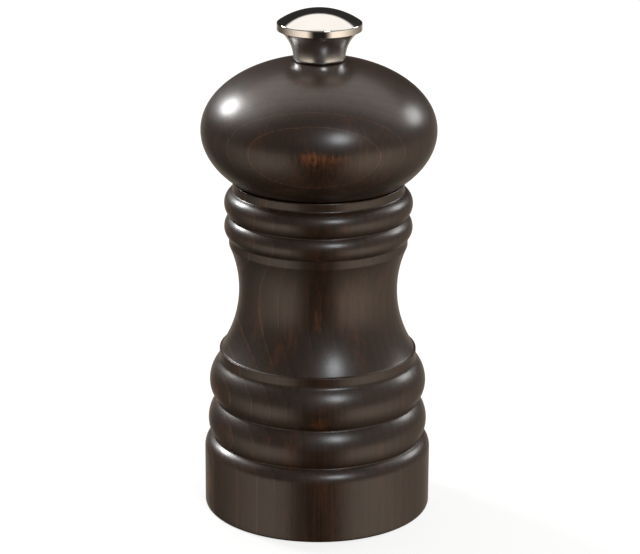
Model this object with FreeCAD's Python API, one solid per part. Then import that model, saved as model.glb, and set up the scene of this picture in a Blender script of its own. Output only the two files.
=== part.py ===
import FreeCAD, Part
import math
import os

# A small pepper mill turned from wood, with a steel burr grinder in its foot and a plated knob on top.
# Millimetres. +Z is up, the origin is the centre of the foot's flat underside, and the mill turns about Z.
#
# How it goes together, from the floor up:
#   the bottom bridge carries a bush for the shaft's lower end,
#   the cone burr hangs on the square shaft inside the ring burr, which sits in a flanged steel housing,
#   the upper bridge is clamped between that housing's lip and the ring burr, and holds the guide bush,
#   the burr spring stands between the guide bush and the cone burr and opens the burrs,
#   the head's tenon turns in the neck bush, and the plate under the tenon drives the square shaft,
#   the knob is screwed on the shaft's top: turning it draws the shaft up and sets how fine the mill grinds.

# ---------------------------------------------------------------- fits and clearances
PRESS_GAP = 0.02        # pieces that stay together, face to face
RUNNING_GAP = 0.05      # a round journal in its bore
SQUARE_GAP = 0.10       # the square shaft in a square hole, each side
TENON_GAP = 0.10        # the head's tenon in the neck bush
HEAD_REST_GAP = 0.05    # the head's shoulder over the neck bush
WOOD_GAP = 0.15         # wood that must not rub on wood, and the knob over the head
PILOT_GAP = 0.05        # a wood screw's shank in its pilot hole
SCREW_HOLE_GAP = 0.20   # a screw's shank through sheet steel
WASHER_HOLE_GAP = 0.35  # the shaft's thread through the knob's washer

# ---------------------------------------------------------------- the wooden body, outside
FOOT_RADIUS = 27.0
FOOT_HEIGHT = 17.8
FOOT_SHOULDER = 3.4         # height of the rounding at the top of the foot
FOOT_EDGE = 0.8             # rounding where the foot meets the table
FOOT_GROOVE_DEPTH = 2.0

LOWER_BEAD_HEIGHT = 9.0
LOWER_BEAD_CROWN = 3.8      # from the groove below up to the fullest place
LOWER_BEAD_INSET = 0.9      # how far the crown stands inside the foot's radius
LOWER_GROOVE_INSET = 3.0    # the groove above the lower bead

MIDDLE_BEAD_HEIGHT = 9.8
MIDDLE_BEAD_CROWN = 4.5
MIDDLE_BEAD_INSET = 1.25
MIDDLE_BEAD_TOP_INSET = 3.3

QUIRK_HEIGHT = 0.9          # small hollow that runs up into the step
STEP_HEIGHT = 1.9           # upright step under the waist
STEP_INSET = 3.65
STEP_EDGE = 0.5             # rounding at the step's upper edge

WAIST_LOWER_HEIGHT = 14.7   # from the step up to the narrowest place
WAIST_UPPER_HEIGHT = 10.9   # from there up to the band
WAIST_WALL = 6.2            # wood left round the pepper chamber at the narrowest place

BAND_HEIGHT = 1.9           # upright band under the neck beads
COLLAR_WALL = 4.8           # wood left round the neck bush at the top of the body
BAND_OVER_COLLAR = 0.9      # how far the band stands outside the collar
NECK_BEAD_OVER_COLLAR = 2.0
NECK_GROOVE_OVER_COLLAR = 0.65
FIRST_NECK_BEAD_HEIGHT = 5.2
FIRST_NECK_BEAD_CROWN = 2.45
SECOND_NECK_BEAD_HEIGHT = 6.1
SECOND_NECK_BEAD_CROWN = 3.0
COLLAR_HEIGHT = 2.1
COLLAR_EDGE = 0.3

# ---------------------------------------------------------------- the wooden body, inside
CHAMBER_RADIUS = 12.5       # holds the peppercorns
FOOT_RECESS_RADIUS = 19.5
FOOT_RECESS_DEPTH = 13.0
RECESS_CHAMFER = 0.6
NECK_RECESS_DEPTH = 14.5

# ---------------------------------------------------------------- neck bush
NECK_BUSH_WALL = 0.7
NECK_BUSH_FLANGE_WIDTH = 1.6
NECK_BUSH_FLANGE = 1.2
NECK_BUSH_LENGTH = 13.6
TENON_RADIUS = 14.5

# ---------------------------------------------------------------- the wooden head
HEAD_RADIUS = 27.5
HEAD_UNDERSIDE = 17.5       # half height of the lower half's ellipse
HEAD_CROWN = 16.8           # half height of the upper half's ellipse
HEAD_SHOULDER_INSET = 0.25  # the head's lower edge stands this far inside the collar
SEAT_RADIUS = 6.4           # small flat under the knob
TENON_LENGTH = 12.0
TENON_CHAMFER = 0.6
HEAD_BORE_RADIUS = 4.3

# ---------------------------------------------------------------- drive plate and its screws
PLATE_INSET = 2.1           # inside the tenon
PLATE_THICKNESS = 1.5
PLATE_SCREW_INSET = 3.8     # from the plate's edge to the screws' centres
PLATE_SCREW_COUNT = 3
PLATE_SCREW_RADIUS = 1.2
PLATE_SCREW_HEAD_RADIUS = 2.4
PLATE_SCREW_LENGTH = 9.0

# ---------------------------------------------------------------- shaft
SHAFT_SIDE = 5.0
SHAFT_CHAMFER = 0.35
THREAD_RADIUS = 2.5         # outside of the thread for the knob
THREAD_LENGTH = 13.0
THREAD_CHAMFER = 0.5
STUD_RADIUS = 2.0           # round stud below the square, threaded for the cone's nut
JOURNAL_RADIUS = 1.9
SHAFT_FOOT_CLEARANCE = 1.8  # from the table to the shaft's lower end

# ---------------------------------------------------------------- bottom bridge and its bush
BRIDGE_WIDTH = 8.0
BRIDGE_THICKNESS = 1.5
BRIDGE_CLEARANCE = 2.2      # from the table to the bridge
BRIDGE_END_GAP = 0.1        # inside the housing's flange
BRIDGE_HOLD = 0.2           # how far the bridge's ends reach under the ring burr
BRIDGE_SLOPE_RUN = 4.4      # level length of each sloping leg
BOTTOM_BUSH_RADIUS = 3.0
BOTTOM_BUSH_FLANGE_RADIUS = 4.2
BOTTOM_BUSH_FLANGE = 0.7

# ---------------------------------------------------------------- burr housing and its screws
FLANGE_THICKNESS = 1.2
FLANGE_GAP = 0.3            # round the flange, inside the foot's recess
HOUSING_WALL = 0.8
LIP_WIDTH = 1.5
LIP_THICKNESS = 0.8
FOOT_SCREW_INSET = 2.6      # from the recess wall to the screws' centres
FOOT_SCREW_RADIUS = 1.2
FOOT_SCREW_HEAD_RADIUS = 2.1
FOOT_SCREW_HEAD = 1.5
FOOT_SCREW_LENGTH = 9.0

# ---------------------------------------------------------------- burrs
RING_RADIUS = 14.0
RING_HEIGHT = 11.0
FINE_HEIGHT = 6.0           # the lower, fine-toothed part of the ring
RING_WALL = 2.6             # from the tooth tips at the ring's lower edge to its outside
BURR_ANGLE = 14.0           # slope of the grinding faces, in degrees from upright
THROAT_SPREAD = 1.6         # how much wider the ring's upper end is than its waist
FINE_TEETH = 30
FINE_TOOTH_DEPTH = 0.7
FINE_TWIST = 12.0
COARSE_TEETH = 10
COARSE_TOOTH_DEPTH = 0.9
COARSE_TWIST = 16.0
BURR_GAP = 0.45             # between the tooth tips at rest, measured level

CONE_DROP = 1.6             # how far the cone's underside hangs below the ring
CONE_FINE_HEIGHT = 7.2
CONE_BREAKER_HEIGHT = 3.2
CONE_BREAKER_TEETH = 6
CONE_BREAKER_DEPTH = 1.1
CONE_BREAKER_TWIST = 30.0
CONE_TOP_RIM = 0.1          # the breaker's roots stand this far outside the spring seat

# ---------------------------------------------------------------- cone nut, washer, spring seat and spring
NUT_FLATS = 7.0
NUT_HEIGHT = 3.2
WASHER_RADIUS = 4.5
WASHER_THICKNESS = 0.8
SPRING_SEAT_RIM = 0.55      # how far the seat reaches past the spring
SPRING_SEAT_THICKNESS = 0.6
SPRING_WIRE = 0.9
SPRING_WIRE_FLATS = 12
SPRING_CLEARANCE = 0.27     # round the corners of the square shaft
SPRING_LENGTH = 6.4
SPRING_PITCH = 1.7

# ---------------------------------------------------------------- upper bridge and guide bush
SPIDER_THICKNESS = 1.5
SPIDER_RIM_WIDTH = 1.6
SPIDER_ARMS = 3
SPIDER_ARM_WIDTH = 4.0
SPIDER_HUB_WIDTH = 1.95     # round the guide bush
SPIDER_BEND = 0.3           # how far the arms' slope starts inside the rim, on its upper side
WELD_LAP = 0.1              # pieces that are fused reach this far into each other
GUIDE_WALL = 0.82           # at the corners of the square hole
GUIDE_FLANGE_WIDTH = 1.3
GUIDE_FLANGE = 1.0
GUIDE_HUB_PROUD = 0.8       # how far the guide bush stands above the upper bridge

# ---------------------------------------------------------------- knob
KNOB_BASE_RADIUS = 5.75
KNOB_STEM_RADIUS = 6.05
KNOB_BASE_EDGE = 0.4
KNOB_FLARE_RADIUS = 8.2     # the hollow curve of the stem
KNOB_STEM_HEIGHT = 7.0
KNOB_RIM_RADIUS = 9.85
KNOB_RIM_HEIGHT = 1.7
KNOB_RIM_EDGE = 0.15
KNOB_DOME_HEIGHT = 3.2
KNOB_THREAD_LENGTH = 7.4    # how far the shaft reaches into the knob
KNOB_TOP_ROOM = 1.2         # free thread space above the shaft's end
KNOB_WASHER_RADIUS = 5.0
KNOB_WASHER_THICKNESS = 0.6

# ---------------------------------------------------------------- heights, each from the piece below it
foot_groove_z = FOOT_HEIGHT
lower_groove_z = foot_groove_z + LOWER_BEAD_HEIGHT
middle_bead_top_z = lower_groove_z + MIDDLE_BEAD_HEIGHT
step_z = middle_bead_top_z + QUIRK_HEIGHT
step_top_z = step_z + STEP_HEIGHT
waist_z = step_top_z + WAIST_LOWER_HEIGHT
band_z = waist_z + WAIST_UPPER_HEIGHT
band_top_z = band_z + BAND_HEIGHT
neck_groove_z = band_top_z + FIRST_NECK_BEAD_HEIGHT
collar_z = neck_groove_z + SECOND_NECK_BEAD_HEIGHT
body_top_z = collar_z + COLLAR_HEIGHT

flange_z = FOOT_RECESS_DEPTH - FLANGE_THICKNESS
ring_top_z = flange_z + RING_HEIGHT
ring_waist_z = flange_z + FINE_HEIGHT
lip_z = ring_top_z + SPIDER_THICKNESS
housing_top_z = lip_z + LIP_THICKNESS
cone_z = flange_z - CONE_DROP
cone_fine_top_z = cone_z + CONE_FINE_HEIGHT
cone_top_z = cone_fine_top_z + CONE_BREAKER_HEIGHT
spring_z = cone_top_z + SPRING_SEAT_THICKNESS
guide_z = spring_z + SPRING_LENGTH
spider_hub_z = guide_z + GUIDE_FLANGE
guide_top_z = spider_hub_z + SPIDER_THICKNESS + GUIDE_HUB_PROUD
washer_z = cone_z - WASHER_THICKNESS
nut_z = washer_z - NUT_HEIGHT
bridge_top_z = BRIDGE_CLEARANCE + BRIDGE_THICKNESS

neck_floor_z = body_top_z - NECK_RECESS_DEPTH
neck_bush_top_z = body_top_z + WOOD_GAP
head_z = neck_bush_top_z + HEAD_REST_GAP
tenon_z = head_z - TENON_LENGTH
plate_z = tenon_z - PLATE_THICKNESS

# ---------------------------------------------------------------- radii that follow from what fits inside
neck_bush_inner = TENON_RADIUS + TENON_GAP
neck_bush_outer = neck_bush_inner + NECK_BUSH_WALL
neck_flange_radius = neck_bush_outer + NECK_BUSH_FLANGE_WIDTH
neck_recess_radius = neck_bush_outer + PRESS_GAP
collar_radius = neck_recess_radius + COLLAR_WALL
waist_radius = CHAMBER_RADIUS + WAIST_WALL
housing_inner = RING_RADIUS + PRESS_GAP
housing_outer = housing_inner + HOUSING_WALL
housing_bore = housing_outer + RUNNING_GAP
flange_radius = FOOT_RECESS_RADIUS - FLANGE_GAP
thread_bore = THREAD_RADIUS + RUNNING_GAP
slope = math.tan(math.radians(BURR_ANGLE))
ring_mouth_radius = RING_RADIUS - RING_WALL
ring_waist_radius = ring_mouth_radius - FINE_HEIGHT * slope
bridge_end = flange_radius - BRIDGE_END_GAP
bridge_shoulder = RING_RADIUS - BRIDGE_HOLD
foot_screw_circle = FOOT_RECESS_RADIUS - FOOT_SCREW_INSET
plate_radius = TENON_RADIUS - PLATE_INSET
plate_screw_circle = plate_radius - PLATE_SCREW_INSET
square_hole_corner = (SHAFT_SIDE + 2 * SQUARE_GAP) / math.sqrt(2)
spring_radius = square_hole_corner + SPRING_CLEARANCE + SPRING_WIRE / 2
spring_seat_radius = spring_radius + SPRING_WIRE / 2 + SPRING_SEAT_RIM
cone_top_radius = spring_seat_radius + CONE_TOP_RIM + CONE_BREAKER_DEPTH
guide_hub_radius = square_hole_corner + GUIDE_WALL
guide_flange_radius = guide_hub_radius + GUIDE_FLANGE_WIDTH
spider_hub_radius = guide_hub_radius + RUNNING_GAP + SPIDER_HUB_WIDTH

# The head's ellipse is placed so that its lower edge lands on the shoulder, just inside the collar.
shoulder_radius = collar_radius - HEAD_SHOULDER_INSET
equator_z = head_z + HEAD_UNDERSIDE * math.sqrt(1 - (shoulder_radius / HEAD_RADIUS) ** 2)
seat_z = equator_z + HEAD_CROWN * math.sqrt(1 - (SEAT_RADIUS / HEAD_RADIUS) ** 2)
knob_washer_z = seat_z + RUNNING_GAP
knob_z = seat_z + WOOD_GAP
stem_top_z = knob_z + KNOB_STEM_HEIGHT
rim_top_z = stem_top_z + KNOB_RIM_HEIGHT
knob_top_z = rim_top_z + KNOB_DOME_HEIGHT
thread_mouth_z = knob_washer_z + KNOB_WASHER_THICKNESS + RUNNING_GAP
shaft_top_z = thread_mouth_z + KNOB_THREAD_LENGTH
thread_z = shaft_top_z - THREAD_LENGTH


# ---------------------------------------------------------------- drawing helpers
def at(radius, z):
    """A point of an outline, in the half plane y = 0."""
    return FreeCAD.Vector(radius, 0, z)


def line(a, b):
    return Part.makeLine(a, b)


def arc(a, middle, b):
    return Part.Arc(a, middle, b).toShape()


def crown_arc(crown, end):
    """The arc that stands upright at the crown, the fullest or narrowest place, and runs to end."""
    dr = end.x - crown.x
    dz = end.z - crown.z
    radius = (dr * dr + dz * dz) / (2 * abs(dr))
    side = math.copysign(1, dr)
    half = math.asin(dz / radius) / 2
    middle = at(crown.x + side * radius * (1 - math.cos(half)), crown.z + radius * math.sin(half))
    return arc(crown, middle, end)


def quarter_round(a, corner, b):
    """A quarter round from a to b that swings towards their corner."""
    centre = a + b - corner
    return arc(a, centre + (corner - centre) * math.sqrt(0.5), b)


def path(*points):
    return [line(a, b) for a, b in zip(points, points[1:])]


def turned(edges):
    """The solid that a closed outline sweeps as it turns once about Z."""
    face = Part.Face(Part.Wire(Part.__sortEdges__(edges)))
    return face.revolve(FreeCAD.Vector(0, 0, 0), FreeCAD.Vector(0, 0, 1), 360)


def tube(inner, outer, z, top):
    return turned(path(at(inner, z), at(outer, z), at(outer, top), at(inner, top), at(inner, z)))


def rod(radius, z, top, x=0.0, y=0.0):
    return Part.makeCylinder(radius, top - z, FreeCAD.Vector(x, y, z))


def square_bar(side, z, top):
    return Part.makeBox(side, side, top - z, FreeCAD.Vector(-side / 2, -side / 2, z))


def around(radius, count, start=0.0):
    """count places evenly round a circle, the first at start degrees."""
    turns = [math.radians(start + 360.0 * k / count) for k in range(count)]
    return [(radius * math.cos(t), radius * math.sin(t)) for t in turns]


def hexagon(flats, z, top):
    corners = around(flats / math.sqrt(3), 6)
    ring = [FreeCAD.Vector(x, y, z) for x, y in corners + corners[:1]]
    return Part.Face(Part.makePolygon(ring)).extrude(FreeCAD.Vector(0, 0, top - z))


def toothed(teeth, z, tip, root, top, top_tip, top_root, twist, lean=0.25):
    """A twisted stack of saw teeth between a lower and an upper outline; lean is the steep flank's share."""
    wires = []
    for height, outer, inner, turn in ((z, tip, root, 0.0), (top, top_tip, top_root, twist)):
        points = []
        for k in range(teeth):
            for radius, share in ((outer, 0.0), (inner, lean)):
                t = math.radians(turn + 360.0 * (k + share) / teeth)
                points.append(FreeCAD.Vector(radius * math.cos(t), radius * math.sin(t), height))
        wires.append(Part.makePolygon(points + points[:1]))
    return Part.makeLoft(wires, True, True)


def save(name, shape):
    """Writes one node; a lone solid is taken out of its compound first."""
    solids = shape.Solids
    whole = solids[0] if len(solids) == 1 else Part.makeCompound(solids)
    whole.exportStep("parts/" + name + ".step")
    box = whole.BoundBox
    print(f"{name:18s} solids {len(solids)}  z {box.ZMin:7.2f} to {box.ZMax:7.2f}  valid {whole.isValid()}")


# ---------------------------------------------------------------- wooden pieces
def bead(below, crown, above):
    """A full round between two grooves; a hollow if the crown is the narrowest place."""
    return [crown_arc(crown, below), crown_arc(crown, above)]


def body_outside():
    """The turned outline of the body, from its underside up to the collar's top."""
    foot_side = at(FOOT_RADIUS, FOOT_HEIGHT - FOOT_SHOULDER)
    foot_groove = at(FOOT_RADIUS - FOOT_GROOVE_DEPTH, foot_groove_z)
    lower_crown = at(FOOT_RADIUS - LOWER_BEAD_INSET, foot_groove_z + LOWER_BEAD_CROWN)
    lower_groove = at(FOOT_RADIUS - LOWER_GROOVE_INSET, lower_groove_z)
    middle_crown = at(FOOT_RADIUS - MIDDLE_BEAD_INSET, lower_groove_z + MIDDLE_BEAD_CROWN)
    middle_top = at(FOOT_RADIUS - MIDDLE_BEAD_TOP_INSET, middle_bead_top_z)
    step = at(FOOT_RADIUS - STEP_INSET, step_z)
    step_edge = at(step.x, step_top_z - STEP_EDGE)
    waist_foot = at(step.x - STEP_EDGE, step_top_z)
    band = at(collar_radius + BAND_OVER_COLLAR, band_z)
    band_top = at(band.x, band_top_z)
    neck_crown_radius = collar_radius + NECK_BEAD_OVER_COLLAR
    neck_groove = at(collar_radius + NECK_GROOVE_OVER_COLLAR, neck_groove_z)
    collar = at(collar_radius, collar_z)
    collar_edge = at(collar_radius, body_top_z - COLLAR_EDGE)
    edges = [quarter_round(at(FOOT_RADIUS - FOOT_EDGE, 0), at(FOOT_RADIUS, 0), at(FOOT_RADIUS, FOOT_EDGE))]
    edges += path(at(FOOT_RADIUS, FOOT_EDGE), foot_side)
    edges.append(crown_arc(foot_side, foot_groove))
    edges += bead(foot_groove, lower_crown, lower_groove)
    edges += bead(lower_groove, middle_crown, middle_top)
    edges.append(crown_arc(step, middle_top))
    edges += path(step, step_edge)
    edges.append(quarter_round(step_edge, at(step.x, step_top_z), waist_foot))
    edges += bead(waist_foot, at(waist_radius, waist_z), band)
    edges += path(band, band_top)
    edges += bead(band_top, at(neck_crown_radius, band_top_z + FIRST_NECK_BEAD_CROWN), neck_groove)
    edges += bead(neck_groove, at(neck_crown_radius, neck_groove_z + SECOND_NECK_BEAD_CROWN), collar)
    edges += path(collar, collar_edge)
    edges.append(quarter_round(collar_edge, at(collar_radius, body_top_z),
                               at(collar_radius - COLLAR_EDGE, body_top_z)))
    return edges


def mill_body():
    flange_seat = neck_flange_radius + PRESS_GAP
    flange_floor = neck_bush_top_z - NECK_BUSH_FLANGE
    inside = path(
        at(collar_radius - COLLAR_EDGE, body_top_z),
        at(flange_seat, body_top_z),
        at(flange_seat, flange_floor),
        at(neck_recess_radius, flange_floor),
        at(neck_recess_radius, neck_floor_z),
        at(CHAMBER_RADIUS, neck_floor_z),
        at(CHAMBER_RADIUS, housing_top_z + RUNNING_GAP),
        at(housing_bore, housing_top_z + RUNNING_GAP),
        at(housing_bore, FOOT_RECESS_DEPTH),
        at(FOOT_RECESS_RADIUS, FOOT_RECESS_DEPTH),
        at(FOOT_RECESS_RADIUS, RECESS_CHAMFER),
        at(FOOT_RECESS_RADIUS + RECESS_CHAMFER, 0),
        at(FOOT_RADIUS - FOOT_EDGE, 0),
    )
    wood = turned(body_outside() + inside)
    top = flange_z + FOOT_SCREW_LENGTH + PILOT_GAP
    for x, y in around(foot_screw_circle, 4):
        wood = wood.cut(rod(FOOT_SCREW_RADIUS + PILOT_GAP, FOOT_RECESS_DEPTH - PILOT_GAP, top, x, y))
    return wood


def mill_head():
    lower = Part.Ellipse(at(HEAD_RADIUS, equator_z), at(0, equator_z - HEAD_UNDERSIDE), at(0, equator_z))
    upper = Part.Ellipse(at(HEAD_RADIUS, equator_z), at(0, equator_z + HEAD_CROWN), at(0, equator_z))
    shoulder = math.acos(shoulder_radius / HEAD_RADIUS)
    seat = math.acos(SEAT_RADIUS / HEAD_RADIUS)
    edges = [Part.ArcOfEllipse(lower, 0, shoulder).toShape(), Part.ArcOfEllipse(upper, 0, seat).toShape()]
    edges += path(
        at(SEAT_RADIUS, seat_z),
        at(HEAD_BORE_RADIUS, seat_z),
        at(HEAD_BORE_RADIUS, tenon_z),
        at(TENON_RADIUS - TENON_CHAMFER, tenon_z),
        at(TENON_RADIUS, tenon_z + TENON_CHAMFER),
        at(TENON_RADIUS, head_z),
        at(shoulder_radius, head_z),
    )
    wood = turned(edges)
    for x, y in around(plate_screw_circle, PLATE_SCREW_COUNT, 90):
        top = plate_z + PLATE_SCREW_LENGTH + PILOT_GAP
        wood = wood.cut(rod(PLATE_SCREW_RADIUS + PILOT_GAP, tenon_z - PILOT_GAP, top, x, y))
    return wood


def neck_bush():
    flange_z_low = neck_bush_top_z - NECK_BUSH_FLANGE
    foot_z = neck_bush_top_z - NECK_BUSH_LENGTH
    return turned(path(
        at(neck_bush_inner, foot_z),
        at(neck_bush_outer, foot_z),
        at(neck_bush_outer, flange_z_low),
        at(neck_flange_radius, flange_z_low),
        at(neck_flange_radius, neck_bush_top_z),
        at(neck_bush_inner, neck_bush_top_z),
        at(neck_bush_inner, foot_z),
    ))


# ---------------------------------------------------------------- head plate and screws
def plate_screw(x, y):
    """A countersunk wood screw, its flat head flush with the plate's underside."""
    cone_height = PLATE_SCREW_HEAD_RADIUS - PLATE_SCREW_RADIUS
    foot = FreeCAD.Vector(x, y, plate_z)
    head = Part.makeCone(PLATE_SCREW_HEAD_RADIUS, PLATE_SCREW_RADIUS, cone_height, foot)
    shank = rod(PLATE_SCREW_RADIUS, plate_z, plate_z + PLATE_SCREW_LENGTH, x, y)
    return head.fuse(shank).removeSplitter()


def drive_plate():
    plate = rod(plate_radius, plate_z, tenon_z)
    plate = plate.cut(square_bar(SHAFT_SIDE + 2 * SQUARE_GAP, plate_z - 1, tenon_z + 1))
    wide = PLATE_SCREW_HEAD_RADIUS + PILOT_GAP
    narrow = PLATE_SCREW_RADIUS + PILOT_GAP
    for x, y in around(plate_screw_circle, PLATE_SCREW_COUNT, 90):
        plate = plate.cut(Part.makeCone(wide, narrow, wide - narrow, FreeCAD.Vector(x, y, plate_z)))
        plate = plate.cut(rod(narrow, plate_z, tenon_z + 1, x, y))
    return plate


def plate_screws():
    places = around(plate_screw_circle, PLATE_SCREW_COUNT, 90)
    return Part.makeCompound([plate_screw(x, y) for x, y in places])


# ---------------------------------------------------------------- shaft, knob
def drive_shaft():
    bar = square_bar(SHAFT_SIDE, cone_z, thread_z)
    upright = [edge for edge in bar.Edges if edge.BoundBox.ZLength > SHAFT_SIDE]
    bar = bar.makeChamfer(SHAFT_CHAMFER, upright)
    thread = turned(path(
        at(0, thread_z),
        at(THREAD_RADIUS, thread_z),
        at(THREAD_RADIUS, shaft_top_z - THREAD_CHAMFER),
        at(THREAD_RADIUS - THREAD_CHAMFER, shaft_top_z),
        at(0, shaft_top_z),
        at(0, thread_z),
    ))
    stud = rod(STUD_RADIUS, nut_z, cone_z)
    journal = rod(JOURNAL_RADIUS, SHAFT_FOOT_CLEARANCE, nut_z)
    return bar.multiFuse([thread, stud, journal]).removeSplitter()


def knob():
    base_edge = at(KNOB_STEM_RADIUS, knob_z + KNOB_BASE_EDGE)
    flare_z = stem_top_z
    rise = flare_z - base_edge.z
    flare = at(KNOB_STEM_RADIUS + KNOB_FLARE_RADIUS - math.sqrt(KNOB_FLARE_RADIUS ** 2 - rise ** 2), flare_z)
    recess = KNOB_WASHER_RADIUS + RUNNING_GAP
    thread_top_z = shaft_top_z + KNOB_TOP_ROOM
    rim = KNOB_RIM_RADIUS
    dome_edge = at(rim - KNOB_RIM_EDGE, rim_top_z)
    dome_radius = (dome_edge.x ** 2 + KNOB_DOME_HEIGHT ** 2) / (2 * KNOB_DOME_HEIGHT)
    half = math.asin(dome_edge.x / dome_radius) / 2
    crown = at(dome_radius * math.sin(half), knob_top_z - dome_radius * (1 - math.cos(half)))
    edges = [crown_arc(base_edge, flare), arc(at(0, knob_top_z), crown, dome_edge)]
    edges += path(
        flare,
        at(rim - KNOB_RIM_EDGE, stem_top_z),
        at(rim, stem_top_z + KNOB_RIM_EDGE),
        at(rim, rim_top_z - KNOB_RIM_EDGE),
        dome_edge,
    )
    edges += path(
        at(0, knob_top_z),
        at(0, thread_top_z),
        at(thread_bore, thread_top_z),
        at(thread_bore, thread_mouth_z),
        at(recess, thread_mouth_z),
        at(recess, knob_z),
        at(KNOB_BASE_RADIUS, knob_z),
        base_edge,
    )
    return turned(edges)


def knob_washer():
    top = knob_washer_z + KNOB_WASHER_THICKNESS
    return tube(THREAD_RADIUS + WASHER_HOLE_GAP, KNOB_WASHER_RADIUS, knob_washer_z, top)


# ---------------------------------------------------------------- burr housing, burrs
def grinder_housing():
    shell = turned(path(
        at(housing_inner, flange_z),
        at(flange_radius, flange_z),
        at(flange_radius, FOOT_RECESS_DEPTH),
        at(housing_outer, FOOT_RECESS_DEPTH),
        at(housing_outer, housing_top_z),
        at(housing_inner - LIP_WIDTH, housing_top_z),
        at(housing_inner - LIP_WIDTH, lip_z),
        at(housing_inner, lip_z),
        at(housing_inner, flange_z),
    ))
    for x, y in around(foot_screw_circle, 4):
        shell = shell.cut(rod(FOOT_SCREW_RADIUS + SCREW_HOLE_GAP, flange_z - 1, FOOT_RECESS_DEPTH + 1, x, y))
    return shell


def ring_burr():
    """The fixed burr: coarse teeth draw the corns in above, fine teeth grind them below."""
    ring = rod(RING_RADIUS, flange_z, ring_top_z)
    waist = ring_waist_radius
    throat = waist + THROAT_SPREAD
    fine = toothed(FINE_TEETH, flange_z, ring_mouth_radius + FINE_TOOTH_DEPTH, ring_mouth_radius,
                   ring_waist_z, waist + FINE_TOOTH_DEPTH, waist, FINE_TWIST)
    coarse = toothed(COARSE_TEETH, ring_waist_z, waist + COARSE_TOOTH_DEPTH, waist,
                     ring_top_z, throat + COARSE_TOOTH_DEPTH, throat, COARSE_TWIST)
    return ring.cut(fine).cut(coarse)


def cone_burr():
    """The turning burr: the slope of the ring's fine teeth, set in by the burr gap, with a breaker above."""
    tip = ring_mouth_radius + CONE_DROP * slope - BURR_GAP
    fine_top_tip = tip - CONE_FINE_HEIGHT * slope
    fine = toothed(FINE_TEETH, cone_z, tip, tip - FINE_TOOTH_DEPTH, cone_fine_top_z,
                   fine_top_tip, fine_top_tip - FINE_TOOTH_DEPTH, -FINE_TWIST)
    breaker_tip = fine_top_tip - FINE_TOOTH_DEPTH
    breaker = toothed(CONE_BREAKER_TEETH, cone_fine_top_z, breaker_tip, breaker_tip - CONE_BREAKER_DEPTH,
                      cone_top_z, cone_top_radius, cone_top_radius - CONE_BREAKER_DEPTH, -CONE_BREAKER_TWIST)
    hole = square_bar(SHAFT_SIDE + 2 * SQUARE_GAP, cone_z - 1, cone_top_z + 1)
    return fine.fuse(breaker).cut(hole)


def cone_washer():
    return tube(STUD_RADIUS + RUNNING_GAP, WASHER_RADIUS, washer_z, cone_z)


def cone_nut():
    return hexagon(NUT_FLATS, nut_z, washer_z).cut(rod(STUD_RADIUS + PRESS_GAP, nut_z - 1, washer_z + 1))


def spring_seat():
    return tube(square_hole_corner, spring_seat_radius, cone_top_z, spring_z)


def burr_spring():
    """An open coil between the spring seat and the guide bush; its wire is drawn with flats."""
    room = PRESS_GAP + SPRING_WIRE / 2
    coil = Part.makeHelix(SPRING_PITCH, SPRING_LENGTH - 2 * room, spring_radius)
    climb = math.atan2(SPRING_PITCH, 2 * math.pi * spring_radius)
    section = []
    for u, v in around(SPRING_WIRE / 2, SPRING_WIRE_FLATS):
        section.append(FreeCAD.Vector(spring_radius + u, -v * math.sin(climb), v * math.cos(climb)))
    wire = Part.Wire(coil.Edges).makePipeShell([Part.makePolygon(section + section[:1])], True, True)
    wire.translate(FreeCAD.Vector(0, 0, spring_z + room))
    return wire


# ---------------------------------------------------------------- bridges and bushes
def upper_bridge():
    """A pressed spider: a flat rim, three arms that rise, and a raised hub for the guide bush."""
    rim_inner = RING_RADIUS - SPIDER_RIM_WIDTH
    hole = guide_hub_radius + RUNNING_GAP
    hub_top_z = spider_hub_z + SPIDER_THICKNESS
    spider = tube(rim_inner, RING_RADIUS, ring_top_z, lip_z)
    spider = spider.fuse(tube(hole, spider_hub_radius, spider_hub_z, hub_top_z))
    side = path(
        at(rim_inner + WELD_LAP, ring_top_z),
        at(spider_hub_radius - WELD_LAP, spider_hub_z),
        at(spider_hub_radius - WELD_LAP, hub_top_z),
        at(rim_inner - SPIDER_BEND, lip_z),
        at(rim_inner + WELD_LAP, lip_z),
        at(rim_inner + WELD_LAP, ring_top_z),
    )
    arm = Part.Face(Part.Wire(side)).extrude(FreeCAD.Vector(0, SPIDER_ARM_WIDTH, 0))
    arm.translate(FreeCAD.Vector(0, -SPIDER_ARM_WIDTH / 2, 0))
    for k in range(SPIDER_ARMS):
        turned_arm = arm.copy()
        turned_arm.rotate(FreeCAD.Vector(0, 0, 0), FreeCAD.Vector(0, 0, 1), 90 + 360.0 * k / SPIDER_ARMS)
        spider = spider.fuse(turned_arm)
    return spider.removeSplitter()


def guide_bush():
    """Turns in the upper bridge; the square shaft slides up and down in it."""
    bush = turned(path(
        at(0, guide_z),
        at(guide_flange_radius, guide_z),
        at(guide_flange_radius, spider_hub_z - PRESS_GAP),
        at(guide_hub_radius, spider_hub_z - PRESS_GAP),
        at(guide_hub_radius, guide_top_z),
        at(0, guide_top_z),
        at(0, guide_z),
    ))
    return bush.cut(square_bar(SHAFT_SIDE + 2 * SQUARE_GAP, guide_z - 1, guide_top_z + 1))


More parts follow.
